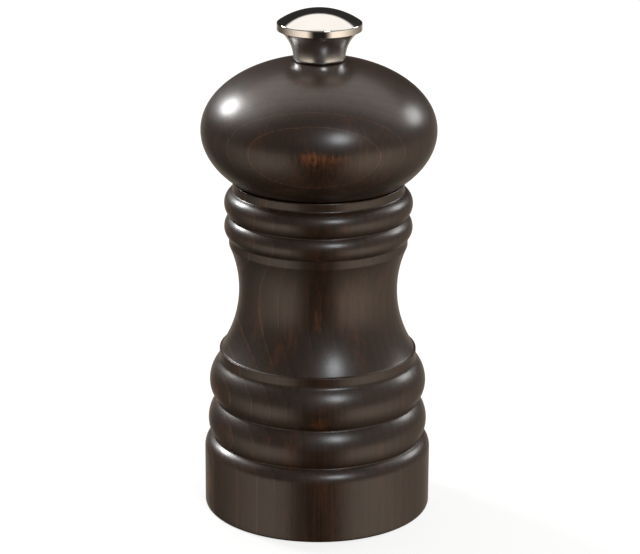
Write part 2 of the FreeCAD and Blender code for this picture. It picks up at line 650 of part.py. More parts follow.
def bottom_bridge():
    """A joggled strip under the burrs: its ends lie on the housing's flange, its middle hangs lower."""
    end = bridge_end
    reach = bridge_shoulder
    low = reach - BRIDGE_SLOPE_RUN
    drop = flange_z - bridge_top_z
    length = math.hypot(reach - low, drop)
    # The underside of the sloping leg, one thickness away from its upper side.
    shift = BRIDGE_THICKNESS * (length - (reach - low)) / drop
    half = [
        (end, flange_z), (reach, flange_z), (low, bridge_top_z),
        (low + shift, BRIDGE_CLEARANCE), (reach + shift, flange_z - BRIDGE_THICKNESS),
        (end, flange_z - BRIDGE_THICKNESS),
    ]
    upper = [at(x, z) for x, z in half[:3]] + [at(-x, z) for x, z in half[2::-1]]
    under = [at(-x, z) for x, z in half[:2:-1]] + [at(x, z) for x, z in half[3:]]
    face = Part.Face(Part.makePolygon(upper + under + upper[:1]))
    strip = face.extrude(FreeCAD.Vector(0, BRIDGE_WIDTH, 0))
    strip.translate(FreeCAD.Vector(0, -BRIDGE_WIDTH / 2, 0))
    strip = strip.common(rod(end, 0, flange_z + 1))
    strip = strip.cut(rod(BOTTOM_BUSH_RADIUS, 0, bridge_top_z + 1))
    for x, y in around(foot_screw_circle, 2):
        strip = strip.cut(rod(FOOT_SCREW_RADIUS + SCREW_HOLE_GAP, BRIDGE_CLEARANCE, flange_z + 1, x, y))
    return strip


def bottom_bush():
    bore = JOURNAL_RADIUS + RUNNING_GAP
    hub = BOTTOM_BUSH_RADIUS - PRESS_GAP
    top = bridge_top_z + BOTTOM_BUSH_FLANGE
    return turned(path(
        at(bore, BRIDGE_CLEARANCE),
        at(hub, BRIDGE_CLEARANCE),
        at(hub, bridge_top_z),
        at(BOTTOM_BUSH_FLANGE_RADIUS, bridge_top_z),
        at(BOTTOM_BUSH_FLANGE_RADIUS, top),
        at(bore, top),
        at(bore, BRIDGE_CLEARANCE),
    ))


def foot_screw(x, y, under_z):
    """A pan-headed wood screw driven upwards; under_z is the face its head bears on."""
    edge = FOOT_SCREW_HEAD_RADIUS
    head = turned([
        crown_arc(at(edge, under_z), at(edge - FOOT_SCREW_HEAD / 2, under_z - FOOT_SCREW_HEAD)),
    ] + path(
        at(edge - FOOT_SCREW_HEAD / 2, under_z - FOOT_SCREW_HEAD),
        at(0, under_z - FOOT_SCREW_HEAD),
        at(0, under_z),
        at(edge, under_z),
    ))
    shank = rod(FOOT_SCREW_RADIUS, under_z, flange_z + FOOT_SCREW_LENGTH)
    screw = head.fuse(shank).removeSplitter()
    screw.translate(FreeCAD.Vector(x, y, 0))
    return screw


def bridge_screws():
    under_z = flange_z - BRIDGE_THICKNESS
    return Part.makeCompound([foot_screw(x, y, under_z) for x, y in around(foot_screw_circle, 2)])


def housing_screws():
    return Part.makeCompound([foot_screw(x, y, flange_z) for x, y in around(foot_screw_circle, 2, 90)])


NODES = (
    mill_body, neck_bush, grinder_housing, ring_burr, upper_bridge, bottom_bridge, bottom_bush,
    bridge_screws, housing_screws, guide_bush, burr_spring, drive_shaft, cone_burr, spring_seat,
    cone_washer, cone_nut, mill_head, drive_plate, plate_screws, knob_washer, knob,
)

os.makedirs("parts", exist_ok=True)
for make in NODES:
    save(make.__name__, make())
print(f"overall height {knob_top_z:.2f}, body {body_top_z:.2f}, head {2 * HEAD_RADIUS:.1f} across")
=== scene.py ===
# %% [markdown]
# # A small turned pepper mill
#
# The mill is turned from beech and stained almost black. Its rounded head twists on a beaded, waisted
# body, a nickel-plated knob sits on top, and a steel grinder hides in the foot. The frame below is the
# engineering model: it fixes every size and every moving body. Each cell after it makes one piece or
# one finish to stand in its place.

# %% Load the frame
import math

import bpy
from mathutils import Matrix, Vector


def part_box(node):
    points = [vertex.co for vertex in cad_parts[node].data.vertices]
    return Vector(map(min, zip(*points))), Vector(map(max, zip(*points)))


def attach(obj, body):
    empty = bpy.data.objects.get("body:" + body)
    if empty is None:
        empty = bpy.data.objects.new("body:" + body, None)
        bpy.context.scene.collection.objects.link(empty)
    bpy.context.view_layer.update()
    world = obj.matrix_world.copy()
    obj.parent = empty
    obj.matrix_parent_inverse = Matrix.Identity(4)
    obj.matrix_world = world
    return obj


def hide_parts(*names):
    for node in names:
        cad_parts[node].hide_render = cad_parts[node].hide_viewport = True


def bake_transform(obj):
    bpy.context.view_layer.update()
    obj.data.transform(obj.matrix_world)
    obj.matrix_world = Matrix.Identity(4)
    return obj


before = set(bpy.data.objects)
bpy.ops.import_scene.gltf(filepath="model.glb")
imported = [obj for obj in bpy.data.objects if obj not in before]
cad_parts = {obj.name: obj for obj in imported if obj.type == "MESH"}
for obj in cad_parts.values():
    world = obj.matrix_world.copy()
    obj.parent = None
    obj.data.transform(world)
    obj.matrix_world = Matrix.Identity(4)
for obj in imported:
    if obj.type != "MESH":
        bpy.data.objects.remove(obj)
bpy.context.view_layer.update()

MM = 0.001

# %% [markdown]
# ## Where things are
#
# The frame gives each node's box. For a turned piece that is all that's needed: its radius, its lowest
# and its highest point. Reading them here keeps every piece where the engineering model has it.

# %% Measure a node
def node_size(node):
    """The radius, lowest and highest point of a node that is centred on Z."""
    low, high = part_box(node)
    return max(high[0], high[1]), low[2], high[2]


for node in sorted(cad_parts):
    radius, low, high = node_size(node)
    print(f"{node:16s} reaches {radius / MM:6.2f} mm out, from {low / MM:7.2f} to {high / MM:7.2f} mm")

# %% [markdown]
# ## Choosing what to work on
#
# An operator acts on whatever is selected. These helpers leave one piece selected, or pick vertices and
# faces of the piece being edited by where they are, so that every later step is sure of what it touches.

# %% Selection helpers
def deselect():
    """Leaves nothing selected and nothing active."""
    for thing in list(bpy.context.selected_objects):
        thing.select_set(False)
    bpy.context.view_layer.objects.active = None


def choose(piece):
    """Leaves one piece selected and active."""
    deselect()
    piece.select_set(True)
    bpy.context.view_layer.objects.active = piece
    return piece


def edit(piece):
    choose(piece)
    bpy.ops.object.mode_set(mode="EDIT")
    bpy.ops.mesh.select_mode(type="VERT")


def leave():
    bpy.ops.object.mode_set(mode="OBJECT")


def pick(test, what="VERT"):
    """In edit mode, selects the vertices, edges or faces whose middle passes the test."""
    piece = bpy.context.edit_object
    bpy.ops.mesh.select_mode(type=what)
    bpy.ops.mesh.select_all(action="DESELECT")
    leave()
    mesh = piece.data
    if what == "VERT":
        for vertex in mesh.vertices:
            vertex.select = test(vertex.co)
    elif what == "EDGE":
        for edge in mesh.edges:
            a, b = (mesh.vertices[i].co for i in edge.vertices)
            edge.select = test((a + b) / 2)
    else:
        for face in mesh.polygons:
            face.select = test(face.center)
    bpy.ops.object.mode_set(mode="EDIT")


def seat(piece, name):
    """Names a fresh primitive and moves its place into its mesh."""
    piece.name = piece.data.name = name
    choose(piece)
    bpy.ops.object.transform_apply(location=True, rotation=True, scale=True)
    return piece


def tidy(piece, merge=1e-6):
    """Closes seams and poles and points every face outwards."""
    edit(piece)
    bpy.ops.mesh.select_all(action="SELECT")
    bpy.ops.mesh.remove_doubles(threshold=merge)
    bpy.ops.mesh.normals_make_consistent(inside=False)
    leave()
    return piece


def smooth(piece, degrees=32):
    choose(piece)
    bpy.ops.object.shade_smooth_by_angle(angle=math.radians(degrees))
    return piece

# %% [markdown]
# ## Outlines
#
# A turner thinks in outlines: straight cuts, beads and hollows, each a plain arc. An outline here is a
# list of (radius, height) points. The helpers make the arcs and then ease every sharp corner a little,
# because a real edge is never sharp, and it is the eased edge that catches the light.

# %% Outline helpers
FINE = 0.45 * MM            # longest step along an arc
COARSE = 1.4 * MM           # longest step along a straight cut


def steps_for(length, step):
    return max(2, math.ceil(length / step))


def upright_arc(crown, end):
    """The arc that stands upright at its crown, the fullest or narrowest place, and runs to end."""
    dr, dz = end[0] - crown[0], end[1] - crown[1]
    radius = (dr * dr + dz * dz) / (2 * abs(dr))
    side = math.copysign(1, dr)
    sweep = math.asin(max(-1.0, min(1.0, dz / radius)))
    count = steps_for(abs(sweep) * radius, FINE)
    points = []
    for k in range(count + 1):
        turn = sweep * k / count
        points.append((crown[0] + side * radius * (1 - math.cos(turn)), crown[1] + radius * math.sin(turn)))
    return points


def bead(below, crown, above):
    """A full round between two grooves, or a hollow if the crown is the narrowest place."""
    return upright_arc(crown, below)[::-1] + upright_arc(crown, above)[1:]


def oval(centre, width, height, start, stop):
    """Part of an ellipse in the outline, from start to stop degrees above level."""
    span = math.radians(abs(stop - start))
    count = steps_for(span * max(width, height), FINE)
    points = []
    for k in range(count + 1):
        turn = math.radians(start + (stop - start) * k / count)
        points.append((centre[0] + width * math.cos(turn), centre[1] + height * math.sin(turn)))
    return points


def heading(start, end):
    return math.atan2(end[1] - start[1], end[0] - start[0])


def eased(points, reach, sharp=18.0, count=6):
    """Rounds each sharp corner of an outline by cutting it back by reach along both of its sides."""
    closed = points[0] == points[-1] or points[0][0] > 0
    ring = [p for k, p in enumerate(points) if k == 0 or math.dist(p, points[k - 1]) > 1e-9]
    if closed and math.dist(ring[0], ring[-1]) > 1e-9:
        ring.append(ring[0])
    lengths = [0.0]
    for a, b in zip(ring, ring[1:]):
        lengths.append(lengths[-1] + math.dist(a, b))
    total = lengths[-1]

    def at_length(s):
        s = s % total if closed else s
        k = max(i for i in range(len(ring) - 1) if lengths[i] <= s + 1e-12)
        t = (s - lengths[k]) / (lengths[k + 1] - lengths[k])
        return tuple(ring[k][i] + t * (ring[k + 1][i] - ring[k][i]) for i in (0, 1))

    corners = []
    last = len(ring) - 1
    for k in range(0 if closed else 1, last):
        before, here, after = ring[k - 1] if k else ring[last - 1], ring[k], ring[k + 1]
        turn = heading(here, after) - heading(before, here)
        turn = abs((turn + math.pi) % (2 * math.pi) - math.pi)
        if turn > math.radians(sharp):
            corners.append(k)
    result = []
    reaches = {}
    for k in corners:
        others = [abs(lengths[k] - lengths[j]) for j in corners if j != k]
        others += [total - d for d in others] if closed else [lengths[k] * 2.2, (total - lengths[k]) * 2.2]
        reaches[k] = min([reach] + [d * 0.45 for d in others])
    for k in range(last if closed else last + 1):
        if k in reaches:
            near = reaches[k]
            a, b = at_length(lengths[k] - near), at_length(lengths[k] + near)
            for j in range(count + 1):
                t = j / count
                result.append(tuple((1 - t) ** 2 * a[i] + 2 * t * (1 - t) * ring[k][i] + t * t * b[i]
                                    for i in (0, 1)))
            continue
        gaps = [abs(lengths[k] - lengths[j]) for j in reaches]
        gaps = [min(g, total - g) if closed else g for g in gaps]
        if all(g > reaches[j] * 1.02 for g, j in zip(gaps, reaches)):
            result.append(ring[k])
    return result, closed


def divided(points, closed, step):
    """Adds points along the long straight stretches, so that the mesh has even faces."""
    pairs = list(zip(points, points[1:] + points[:1] if closed else points[1:]))
    result = []
    for a, b in pairs:
        count = max(1, math.ceil(math.dist(a, b) / step))
        for k in range(count):
            t = k / count
            result.append((a[0] + t * (b[0] - a[0]), a[1] + t * (b[1] - a[1])))
    if not closed:
        result.append(points[-1])
    return result

# %% [markdown]
# ## The lathe
#
# On the real bench the blank spins and the tool follows the outline. Here it is the same the other way
# round: one vertex is drawn along the outline with extrude, and Spin sweeps the drawn line once about Z.
# Spin leaves a seam where it closes, so the doubles are merged before the faces are pointed outwards.

# %% Turn an outline into a solid
ROUND = 192                 # faces once round a large turned piece


def turned(name, outline, ease=0.25 * MM, rounds=ROUND, step=COARSE):
    """A closed solid of revolution from an outline of (radius, height) points."""
    points, closed = eased(outline, ease)
    points = divided(points, closed, step)
    deselect()
    bpy.ops.mesh.primitive_plane_add(size=MM, location=(points[0][0], 0, points[0][1]))
    piece = seat(bpy.context.object, name)
    edit(piece)
    bpy.ops.mesh.select_all(action="SELECT")
    bpy.ops.mesh.merge(type="CENTER")
    for a, b in zip(points, points[1:]):
        move = (b[0] - a[0], 0, b[1] - a[1])
        bpy.ops.mesh.extrude_vertices_move(TRANSFORM_OT_translate={"value": move})
    if closed:
        first, last = Vector((points[0][0], 0, points[0][1])), Vector((points[-1][0], 0, points[-1][1]))
        pick(lambda co: min((co - first).length, (co - last).length) < 1e-7)
        bpy.ops.mesh.edge_face_add()
    bpy.ops.mesh.select_mode(type="VERT")
    bpy.ops.mesh.select_all(action="SELECT")
    bpy.ops.mesh.spin(steps=rounds, angle=2 * math.pi, center=(0, 0, 0), axis=(0, 0, 1))
    leave()
    tidy(piece)
    print(f"{name}: {len(piece.data.polygons)} faces")
    return smooth(piece)

# %% Cutting and joining
def combine(piece, tool, how="DIFFERENCE"):
    """Cuts with, joins to or keeps only what is inside another solid, which is used up."""
    choose(piece)
    bpy.ops.object.modifier_add(type="BOOLEAN")
    step = piece.modifiers[-1]
    step.operation = how
    step.solver = "EXACT"
    step.object = tool
    bpy.ops.object.modifier_apply(modifier=step.name)
    bpy.data.objects.remove(tool)
    return piece


def rod(name, radius, low, high, x=0.0, y=0.0, sides=48):
    deselect()
    bpy.ops.mesh.primitive_cylinder_add(
        vertices=sides, radius=radius, depth=high - low, location=(x, y, (low + high) / 2))
    return seat(bpy.context.object, name)


def block(name, low, high):
    """A rectangular solid between two corners."""
    deselect()
    middle = [(a + b) / 2 for a, b in zip(low, high)]
    bpy.ops.mesh.primitive_cube_add(size=1, location=middle, scale=[b - a for a, b in zip(low, high)])
    return seat(bpy.context.object, name)


def softened(piece, width, segments=2, degrees=35):
    """Rounds the sharp edges of a finished solid."""
    choose(piece)
    bpy.ops.object.modifier_add(type="BEVEL")
    step = piece.modifiers[-1]
    step.width = width
    step.segments = segments
    step.limit_method = "ANGLE"
    step.angle_limit = math.radians(degrees)
    bpy.ops.object.modifier_apply(modifier=step.name)
    return piece

# %% [markdown]
# ## The body
#
# The real body is one beech blank, drilled through for the peppercorns and then turned outside: a plain
# foot, two fat beads, a small step, a waist to grip, a narrow band and two neck beads under the collar.
# Everything is a stack of arcs, so the outline is built from the foot upwards, each height from the one
# below. The inside steps are cut for the grinder's shell and for the bush that the head turns in.

# %% Body sizes
foot_radius, floor_z, body_top = node_size("mill_body")
shell_radius, shell_low, shell_top = node_size("grinder_housing")
bush_flange_radius, bush_low, bush_top = node_size("neck_bush")

FOOT_HEIGHT = 17.8 * MM
FOOT_SHOULDER = 3.4 * MM
FOOT_EDGE = 0.8 * MM
COLLAR_RADIUS = 20.12 * MM
WAIST_RADIUS = 18.7 * MM
CHAMBER_RADIUS = 12.5 * MM
RECESS_RADIUS = 19.5 * MM
RECESS_DEPTH = 13.0 * MM
SHELL_BORE = 14.87 * MM
NECK_BORE = 15.32 * MM
NECK_DEPTH = 14.5 * MM
BUSH_FLANGE = 1.2 * MM
SEAT_GAP = 0.02 * MM        # pieces that lie against each other
SHELL_GAP = 0.05 * MM

foot_groove = (foot_radius - 2.0 * MM, FOOT_HEIGHT)
lower_crown = (foot_radius - 0.9 * MM, foot_groove[1] + 3.8 * MM)
lower_groove = (foot_radius - 3.0 * MM, foot_groove[1] + 9.0 * MM)
upper_crown = (foot_radius - 1.25 * MM, lower_groove[1] + 4.5 * MM)
upper_bead_top = (foot_radius - 3.3 * MM, lower_groove[1] + 9.8 * MM)
step_low = (foot_radius - 3.65 * MM, upper_bead_top[1] + 0.9 * MM)
step_high = (step_low[0], step_low[1] + 1.9 * MM)
waist = (WAIST_RADIUS, step_high[1] + 14.7 * MM)
band = (COLLAR_RADIUS + 0.9 * MM, waist[1] + 10.9 * MM)
band_top = (band[0], band[1] + 1.9 * MM)
first_crown = (COLLAR_RADIUS + 2.0 * MM, band_top[1] + 2.45 * MM)
neck_groove = (COLLAR_RADIUS + 0.65 * MM, band_top[1] + 5.2 * MM)
second_crown = (COLLAR_RADIUS + 2.0 * MM, neck_groove[1] + 3.0 * MM)
collar_foot = (COLLAR_RADIUS, neck_groove[1] + 6.1 * MM)
print("collar from", round(collar_foot[1] / MM, 2), "to", round(body_top / MM, 2), "mm")

# %% Turn the body
def body_outline():
    foot_side = (foot_radius, FOOT_HEIGHT - FOOT_SHOULDER)
    outside = oval((foot_radius - FOOT_EDGE, floor_z + FOOT_EDGE), FOOT_EDGE, FOOT_EDGE, -90, 0)
    outside += upright_arc(foot_side, foot_groove)
    outside += bead(foot_groove, lower_crown, lower_groove)
    outside += bead(lower_groove, upper_crown, upper_bead_top)
    outside += upright_arc(step_low, upper_bead_top)[::-1]
    outside += [step_high] + bead((step_high[0] - 0.4 * MM, step_high[1]), waist, band)
    outside += [band_top] + bead(band_top, first_crown, neck_groove)
    outside += bead(neck_groove, second_crown, collar_foot)
    flange_seat = bush_flange_radius + SEAT_GAP
    flange_floor = bush_top - BUSH_FLANGE
    chamber_low = shell_top + SHELL_GAP
    inside = [
        (COLLAR_RADIUS, body_top), (flange_seat, body_top), (flange_seat, flange_floor),
        (NECK_BORE, flange_floor), (NECK_BORE, body_top - NECK_DEPTH),
        (CHAMBER_RADIUS, body_top - NECK_DEPTH), (CHAMBER_RADIUS, chamber_low),
        (SHELL_BORE, chamber_low), (SHELL_BORE, RECESS_DEPTH), (RECESS_RADIUS, RECESS_DEPTH),
        (RECESS_RADIUS, 0.6 * MM), (RECESS_RADIUS + 0.6 * MM, floor_z),
    ]
    return outside + inside


SCREW_CIRCLE = 16.9 * MM
PILOT_RADIUS = 1.25 * MM
screw_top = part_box("bridge_screws")[1][2]


def places(radius, count, start=0.0):
    """count places evenly round a circle, the first at start degrees."""
    turns = [math.radians(start + 360 * k / count) for k in range(count)]
    return [(radius * math.cos(t), radius * math.sin(t)) for t in turns]


body = turned("body_turned_beech", body_outline(), ease=0.3 * MM)
for x, y in places(SCREW_CIRCLE, 4):
    combine(body, rod("pilot", PILOT_RADIUS, RECESS_DEPTH - MM, screw_top + SHELL_GAP, x, y, 24))
smooth(body)
print("body", len(body.data.vertices), "vertices")

# %% [markdown]
# ## The head
#
# The head is a flattened ball: the lower half is half an ellipse, the upper half a slightly flatter one.
# A tenon under it turns in the neck, and a hole right through it lets the shaft pass up to the knob.

# %% Turn the head
head_radius, tenon_low, seat_z = node_size("mill_head")
HEAD_REST_GAP = 0.05 * MM
HEAD_UNDERSIDE = 17.5 * MM
HEAD_CROWN = 16.8 * MM
HEAD_SHOULDER = COLLAR_RADIUS - 0.25 * MM
HEAD_SEAT = 6.4 * MM
HEAD_BORE = 4.3 * MM
TENON_RADIUS = 14.5 * MM
PLATE_SCREW_CIRCLE = 8.6 * MM
PLATE_SCREW_COUNT = 3
PLATE_PILOT = 1.25 * MM
head_low = bush_top + HEAD_REST_GAP
equator = head_low + HEAD_UNDERSIDE * math.sqrt(1 - (HEAD_SHOULDER / head_radius) ** 2)


def head_outline():
    shoulder = -math.degrees(math.acos(HEAD_SHOULDER / head_radius))
    top = math.degrees(math.acos(HEAD_SEAT / head_radius))
    ball = oval((0, equator), head_radius, HEAD_UNDERSIDE, shoulder, 0)
    ball += oval((0, equator), head_radius, HEAD_CROWN, 0, top)[1:]
    core = [(HEAD_BORE, seat_z), (HEAD_BORE, tenon_low), (TENON_RADIUS - 0.6 * MM, tenon_low),
            (TENON_RADIUS, tenon_low + 0.6 * MM), (TENON_RADIUS, head_low)]
    return ball + core


head = turned("head_turned_beech", head_outline(), ease=0.25 * MM)
plate_screw_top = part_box("plate_screws")[1][2]
for x, y in places(PLATE_SCREW_CIRCLE, PLATE_SCREW_COUNT, 90):
    combine(head, rod("pilot", PLATE_PILOT, tenon_low - MM, plate_screw_top + SHELL_GAP, x, y, 24))
smooth(head)
print("head widest at", round(equator / MM, 2), "mm")

# %% [markdown]
# ## The knob
#
# The knob is turned from brass, polished and nickel plated: a waisted stem that flares into a thin rim
# with a shallow dome on it. Polished metal shows every ripple of its mesh, so its arcs get finer steps
# than the wood's, and only the rim's two edges are eased, by a tenth of a millimetre.

# %% Turn the knob
knob_radius, knob_low, knob_top = node_size("knob")
washer_radius, _, washer_top = node_size("knob_washer")
KNOB_BASE = 5.75 * MM
KNOB_STEM = 6.05 * MM
KNOB_STEM_HEIGHT = 7.0 * MM
KNOB_FLARE = 8.2 * MM
KNOB_DOME = 3.2 * MM
THREAD_BORE = 2.55 * MM
THREAD_ROOM = 1.2 * MM
WASHER_GAP = 0.05 * MM
shaft_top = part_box("drive_shaft")[1][2]


def knob_outline():
    rim_low = knob_low + KNOB_STEM_HEIGHT
    stem_low = (KNOB_STEM, knob_low + 0.4 * MM)
    rise = rim_low - stem_low[1]
    flare_top = (KNOB_STEM + KNOB_FLARE - math.sqrt(KNOB_FLARE ** 2 - rise ** 2), rim_low)
    dome_radius = (knob_radius ** 2 + KNOB_DOME ** 2) / (2 * KNOB_DOME)
    edge = math.asin(knob_radius / dome_radius)
    dome = []
    for k in range(41):
        lean = edge * (1 - k / 40)
        dome.append((dome_radius * math.sin(lean), knob_top - dome_radius * (1 - math.cos(lean))))
    recess = washer_radius + WASHER_GAP
    mouth = washer_top + WASHER_GAP
    core = [(0.0, shaft_top + THREAD_ROOM), (THREAD_BORE, shaft_top + THREAD_ROOM), (THREAD_BORE, mouth),
            (recess, mouth), (recess, knob_low), (KNOB_BASE, knob_low)]
    stem = upright_arc(stem_low, flare_top)
    return core + stem + [(knob_radius, rim_low)] + dome[:-1] + [(0.0, knob_top)]


knob = turned("adjusting_knob", knob_outline(), ease=0.16 * MM, rounds=160, step=0.5 * MM)
print("knob", round((knob_top - knob_low) / MM, 2), "mm tall")

# %% [markdown]
# ## Plain turned and pressed pieces
#
# Under the head and in the foot are bushes, washers and a pressed steel shell. All of them are round, so
# each is an outline on the same lathe, with its corners eased by as much as its making gives: a moulded
# nylon bush has soft corners, a pressed shell has a bend radius, and a stamped washer is nearly sharp.

# %% Neck bush
NECK_BUSH_BORE = TENON_RADIUS + 0.1 * MM
NECK_BUSH_WALL = 0.7 * MM
bush_outer = NECK_BUSH_BORE + NECK_BUSH_WALL
flange_floor = bush_top - BUSH_FLANGE
neck_bush = turned("neck_bush_nylon", [
    (NECK_BUSH_BORE, bush_low), (bush_outer, bush_low), (bush_outer, flange_floor),
    (bush_flange_radius, flange_floor), (bush_flange_radius, bush_top), (NECK_BUSH_BORE, bush_top),
], ease=0.22 * MM)

# %% Grinder shell
SHELL_WALL = 0.8 * MM
SHELL_LIP = 1.5 * MM
SCREW_HOLE = 1.4 * MM
shell_outer = SHELL_BORE - SHELL_GAP
shell_inner = shell_outer - SHELL_WALL
shell = turned("grinder_shell", [
    (shell_inner, shell_low), (shell_radius, shell_low), (shell_radius, RECESS_DEPTH),
    (shell_outer, RECESS_DEPTH), (shell_outer, shell_top), (shell_inner - SHELL_LIP, shell_top),
    (shell_inner - SHELL_LIP, shell_top - SHELL_WALL), (shell_inner, shell_top - SHELL_WALL),
], ease=0.3 * MM)
for x, y in places(SCREW_CIRCLE, 4):
    combine(shell, rod("hole", SCREW_HOLE, shell_low - MM, RECESS_DEPTH + MM, x, y, 40))
smooth(softened(shell, 0.08 * MM, 2, 50))

# %% Washers and bushes
def ring(name, bore, node, ease=0.1 * MM, sides=96):
    """A flat ring that fills a node's box."""
    radius, low, high = node_size(node)
    return turned(name, [(bore, low), (radius, low), (radius, high), (bore, high)], ease, sides, 0.5 * MM)


SHAFT_SIDE = 5.0 * MM
SQUARE_GAP = 0.1 * MM
square_hole = SHAFT_SIDE / 2 + SQUARE_GAP
knob_washer = ring("knob_washer_steel", 2.85 * MM, "knob_washer")
cone_washer = ring("cone_washer_steel", 2.05 * MM, "cone_washer")
spring_seat = ring("spring_seat_steel", square_hole * math.sqrt(2), "spring_seat")

guide_radius, guide_low, guide_top = node_size("guide_bush")
hub_low = guide_low + 0.98 * MM
GUIDE_HUB = 4.5 * MM
guide = turned("guide_bush_brass", [
    (0.0, guide_low), (guide_radius, guide_low), (guide_radius, hub_low), (GUIDE_HUB, hub_low),
    (GUIDE_HUB, guide_top), (0.0, guide_top),
], ease=0.18 * MM, rounds=96, step=0.5 * MM)

bearing_radius, bearing_low, bearing_top = node_size("bottom_bush")
BEARING_BORE = 1.95 * MM
BEARING_HUB = 2.98 * MM
bridge_middle_top = bearing_low + 1.5 * MM
bearing = turned("bottom_bush_brass", [
    (BEARING_BORE, bearing_low), (BEARING_HUB, bearing_low), (BEARING_HUB, bridge_middle_top),
    (bearing_radius, bridge_middle_top), (bearing_radius, bearing_top), (BEARING_BORE, bearing_top),
], ease=0.15 * MM, rounds=96, step=0.4 * MM)

# %% Square holes
def square_cut(piece, low, high):
    """Broaches the hole that the square shaft slides in."""
    broach = block("broach", (-square_hole, -square_hole, low - MM), (square_hole, square_hole, high + MM))
    combine(piece, broach)
    return smooth(softened(piece, 0.07 * MM, 2, 50))


square_cut(guide, guide_low, guide_top)

# %% [markdown]
# ## Drive plate
#
# A stamped disc under the tenon carries the turning force: its square hole grips the shaft, and three
# countersunk screws hold it to the wood. The countersinks are cut with a small turned cone.

# %% Drive plate
plate_radius, plate_low, plate_top = node_size("drive_plate")
COUNTERSINK = 2.45 * MM
SCREW_SHANK = 1.2 * MM
SHANK_GAP = 0.05 * MM
sink_depth = COUNTERSINK - SCREW_SHANK - SHANK_GAP
plate = turned("drive_plate_steel", [(0.0, plate_low), (plate_radius, plate_low), (plate_radius, plate_top),
                                     (0.0, plate_top)], ease=0.2 * MM, rounds=128)
for x, y in places(PLATE_SCREW_CIRCLE, PLATE_SCREW_COUNT, 90):
    sink = turned("sink", [
        (0.0, plate_low - 0.3 * MM), (COUNTERSINK + 0.3 * MM, plate_low - 0.3 * MM),
        (SCREW_SHANK + SHANK_GAP, plate_low + sink_depth), (SCREW_SHANK + SHANK_GAP, plate_top + MM),
        (0.0, plate_top + MM)], ease=0.01 * MM, rounds=48, step=MM)
    sink.location = (x, y, 0)
    combine(plate, seat(sink, "sink"))
square_cut(plate, plate_low, plate_top)

# %% [markdown]
# ## Threads
#
# A thread is one ridge wound round a rod. The Screw modifier does what a lathe does when its tool moves
# along as the work turns: it sweeps a small closed profile round Z and lifts it by one pitch a turn. The
# ridge is then joined to the rod, and a turned blank with tapered ends trims the start and the finish.

# %% Wind a thread
def mended(piece, merge=3e-6):
    """Clears up the slivers that are left where two threads cross, and closes what they leave open."""
    edit(piece)
    bpy.ops.mesh.select_all(action="SELECT")
    bpy.ops.mesh.remove_doubles(threshold=merge)
    bpy.ops.mesh.dissolve_degenerate(threshold=merge)
    bpy.ops.mesh.delete_loose()
    bpy.ops.mesh.select_all(action="SELECT")
    bpy.ops.mesh.fill_holes(sides=12)
    bpy.ops.mesh.normals_make_consistent(inside=False)
    leave()
    return smooth(piece, 40)


def threaded(name, outer, depth, pitch, low, high, blank, sides=48):
    """A threaded rod kept inside a blank, which is used up."""
    core = rod(name, outer - depth, low - pitch, high + pitch, sides=sides)
    deselect()
    root = outer - depth - 0.1 * MM
    bpy.ops.mesh.primitive_plane_add(size=1, location=((root + outer) / 2, 0, low - pitch),
                                     rotation=(math.pi / 2, 0, 0), scale=(1, 1, 1))
    ridge = bpy.context.object
    ridge.scale = (outer - root, 0.9 * pitch, 1)
    seat(ridge, "ridge")
    edit(ridge)
    pick(lambda co: co.x > (root + outer) / 2)
    bpy.ops.transform.resize(value=(1, 1, 0.12), center_override=(outer, 0, low - pitch))
    bpy.ops.mesh.select_all(action="SELECT")
    bpy.ops.mesh.delete(type="ONLY_FACE")
    leave()
    choose(ridge)
    bpy.ops.object.modifier_add(type="SCREW")
    wind = ridge.modifiers[-1]
    wind.axis = "Z"
    wind.angle = 2 * math.pi
    wind.screw_offset = pitch
    wind.iterations = math.ceil((high - low) / pitch) + 2
    wind.steps = wind.render_steps = sides // 2
    bpy.ops.object.modifier_apply(modifier=wind.name)
    edit(ridge)
    bpy.ops.mesh.select_all(action="SELECT")
    bpy.ops.mesh.fill_holes(sides=4)
    bpy.ops.mesh.normals_make_consistent(inside=False)
    leave()
    combine(core, ridge, "UNION")
    return mended(combine(core, blank, "INTERSECT"))

# %% [markdown]
# ## Wood screws
#
# Two kinds hold the mill together: pan heads in the foot and countersunk heads under the drive plate. Both
# are driven upwards. One of each kind is made on Z, with its thread, its point and a cross recess in the
# head, and then copied to its places.

# %% Make a wood screw
SHANK_NECK = 1.12 * MM      # the plain part between the head and the thread


def wood_screw(name, head_outline, under, tip):
    """A screw on Z; head_outline runs from the head's middle out to the shank, at the height called under."""
    neck = under + 1.6 * MM
    point = tip - 2.0 * MM
    blank = turned("blank", [
        (0.0, neck - 0.5 * MM), (0.7 * MM, neck - 0.5 * MM), (0.7 * MM, neck - 0.1 * MM),
        (SCREW_SHANK, neck + 0.7 * MM), (SCREW_SHANK, point), (0.12 * MM, tip), (0.0, tip),
    ], ease=0.02 * MM, rounds=50, step=MM)
    ridge = threaded("thread", SCREW_SHANK, 0.36 * MM, 1.0 * MM, neck, tip, blank)
    core = [(SHANK_NECK, neck), (0.6 * MM, neck + 0.3 * MM), (0.0, neck + 0.3 * MM)]
    screw = turned(name, head_outline + core, ease=0.12 * MM, rounds=64, step=0.5 * MM)
    combine(screw, ridge, "UNION")
    low = head_outline[0][1]
    for k in range(2):
        slot = block("slot", (-1.25 * MM, -0.2 * MM, low - 0.2 * MM), (1.25 * MM, 0.2 * MM, low + 0.95 * MM))
        edit(slot)
        pick(lambda co: co.z > low)
        bpy.ops.transform.resize(value=(0.35, 0.7, 1), center_override=(0, 0, low))
        leave()
        slot.rotation_euler = (0, 0, k * math.pi / 2)
        combine(screw, seat(slot, "slot"))
    return mended(screw)


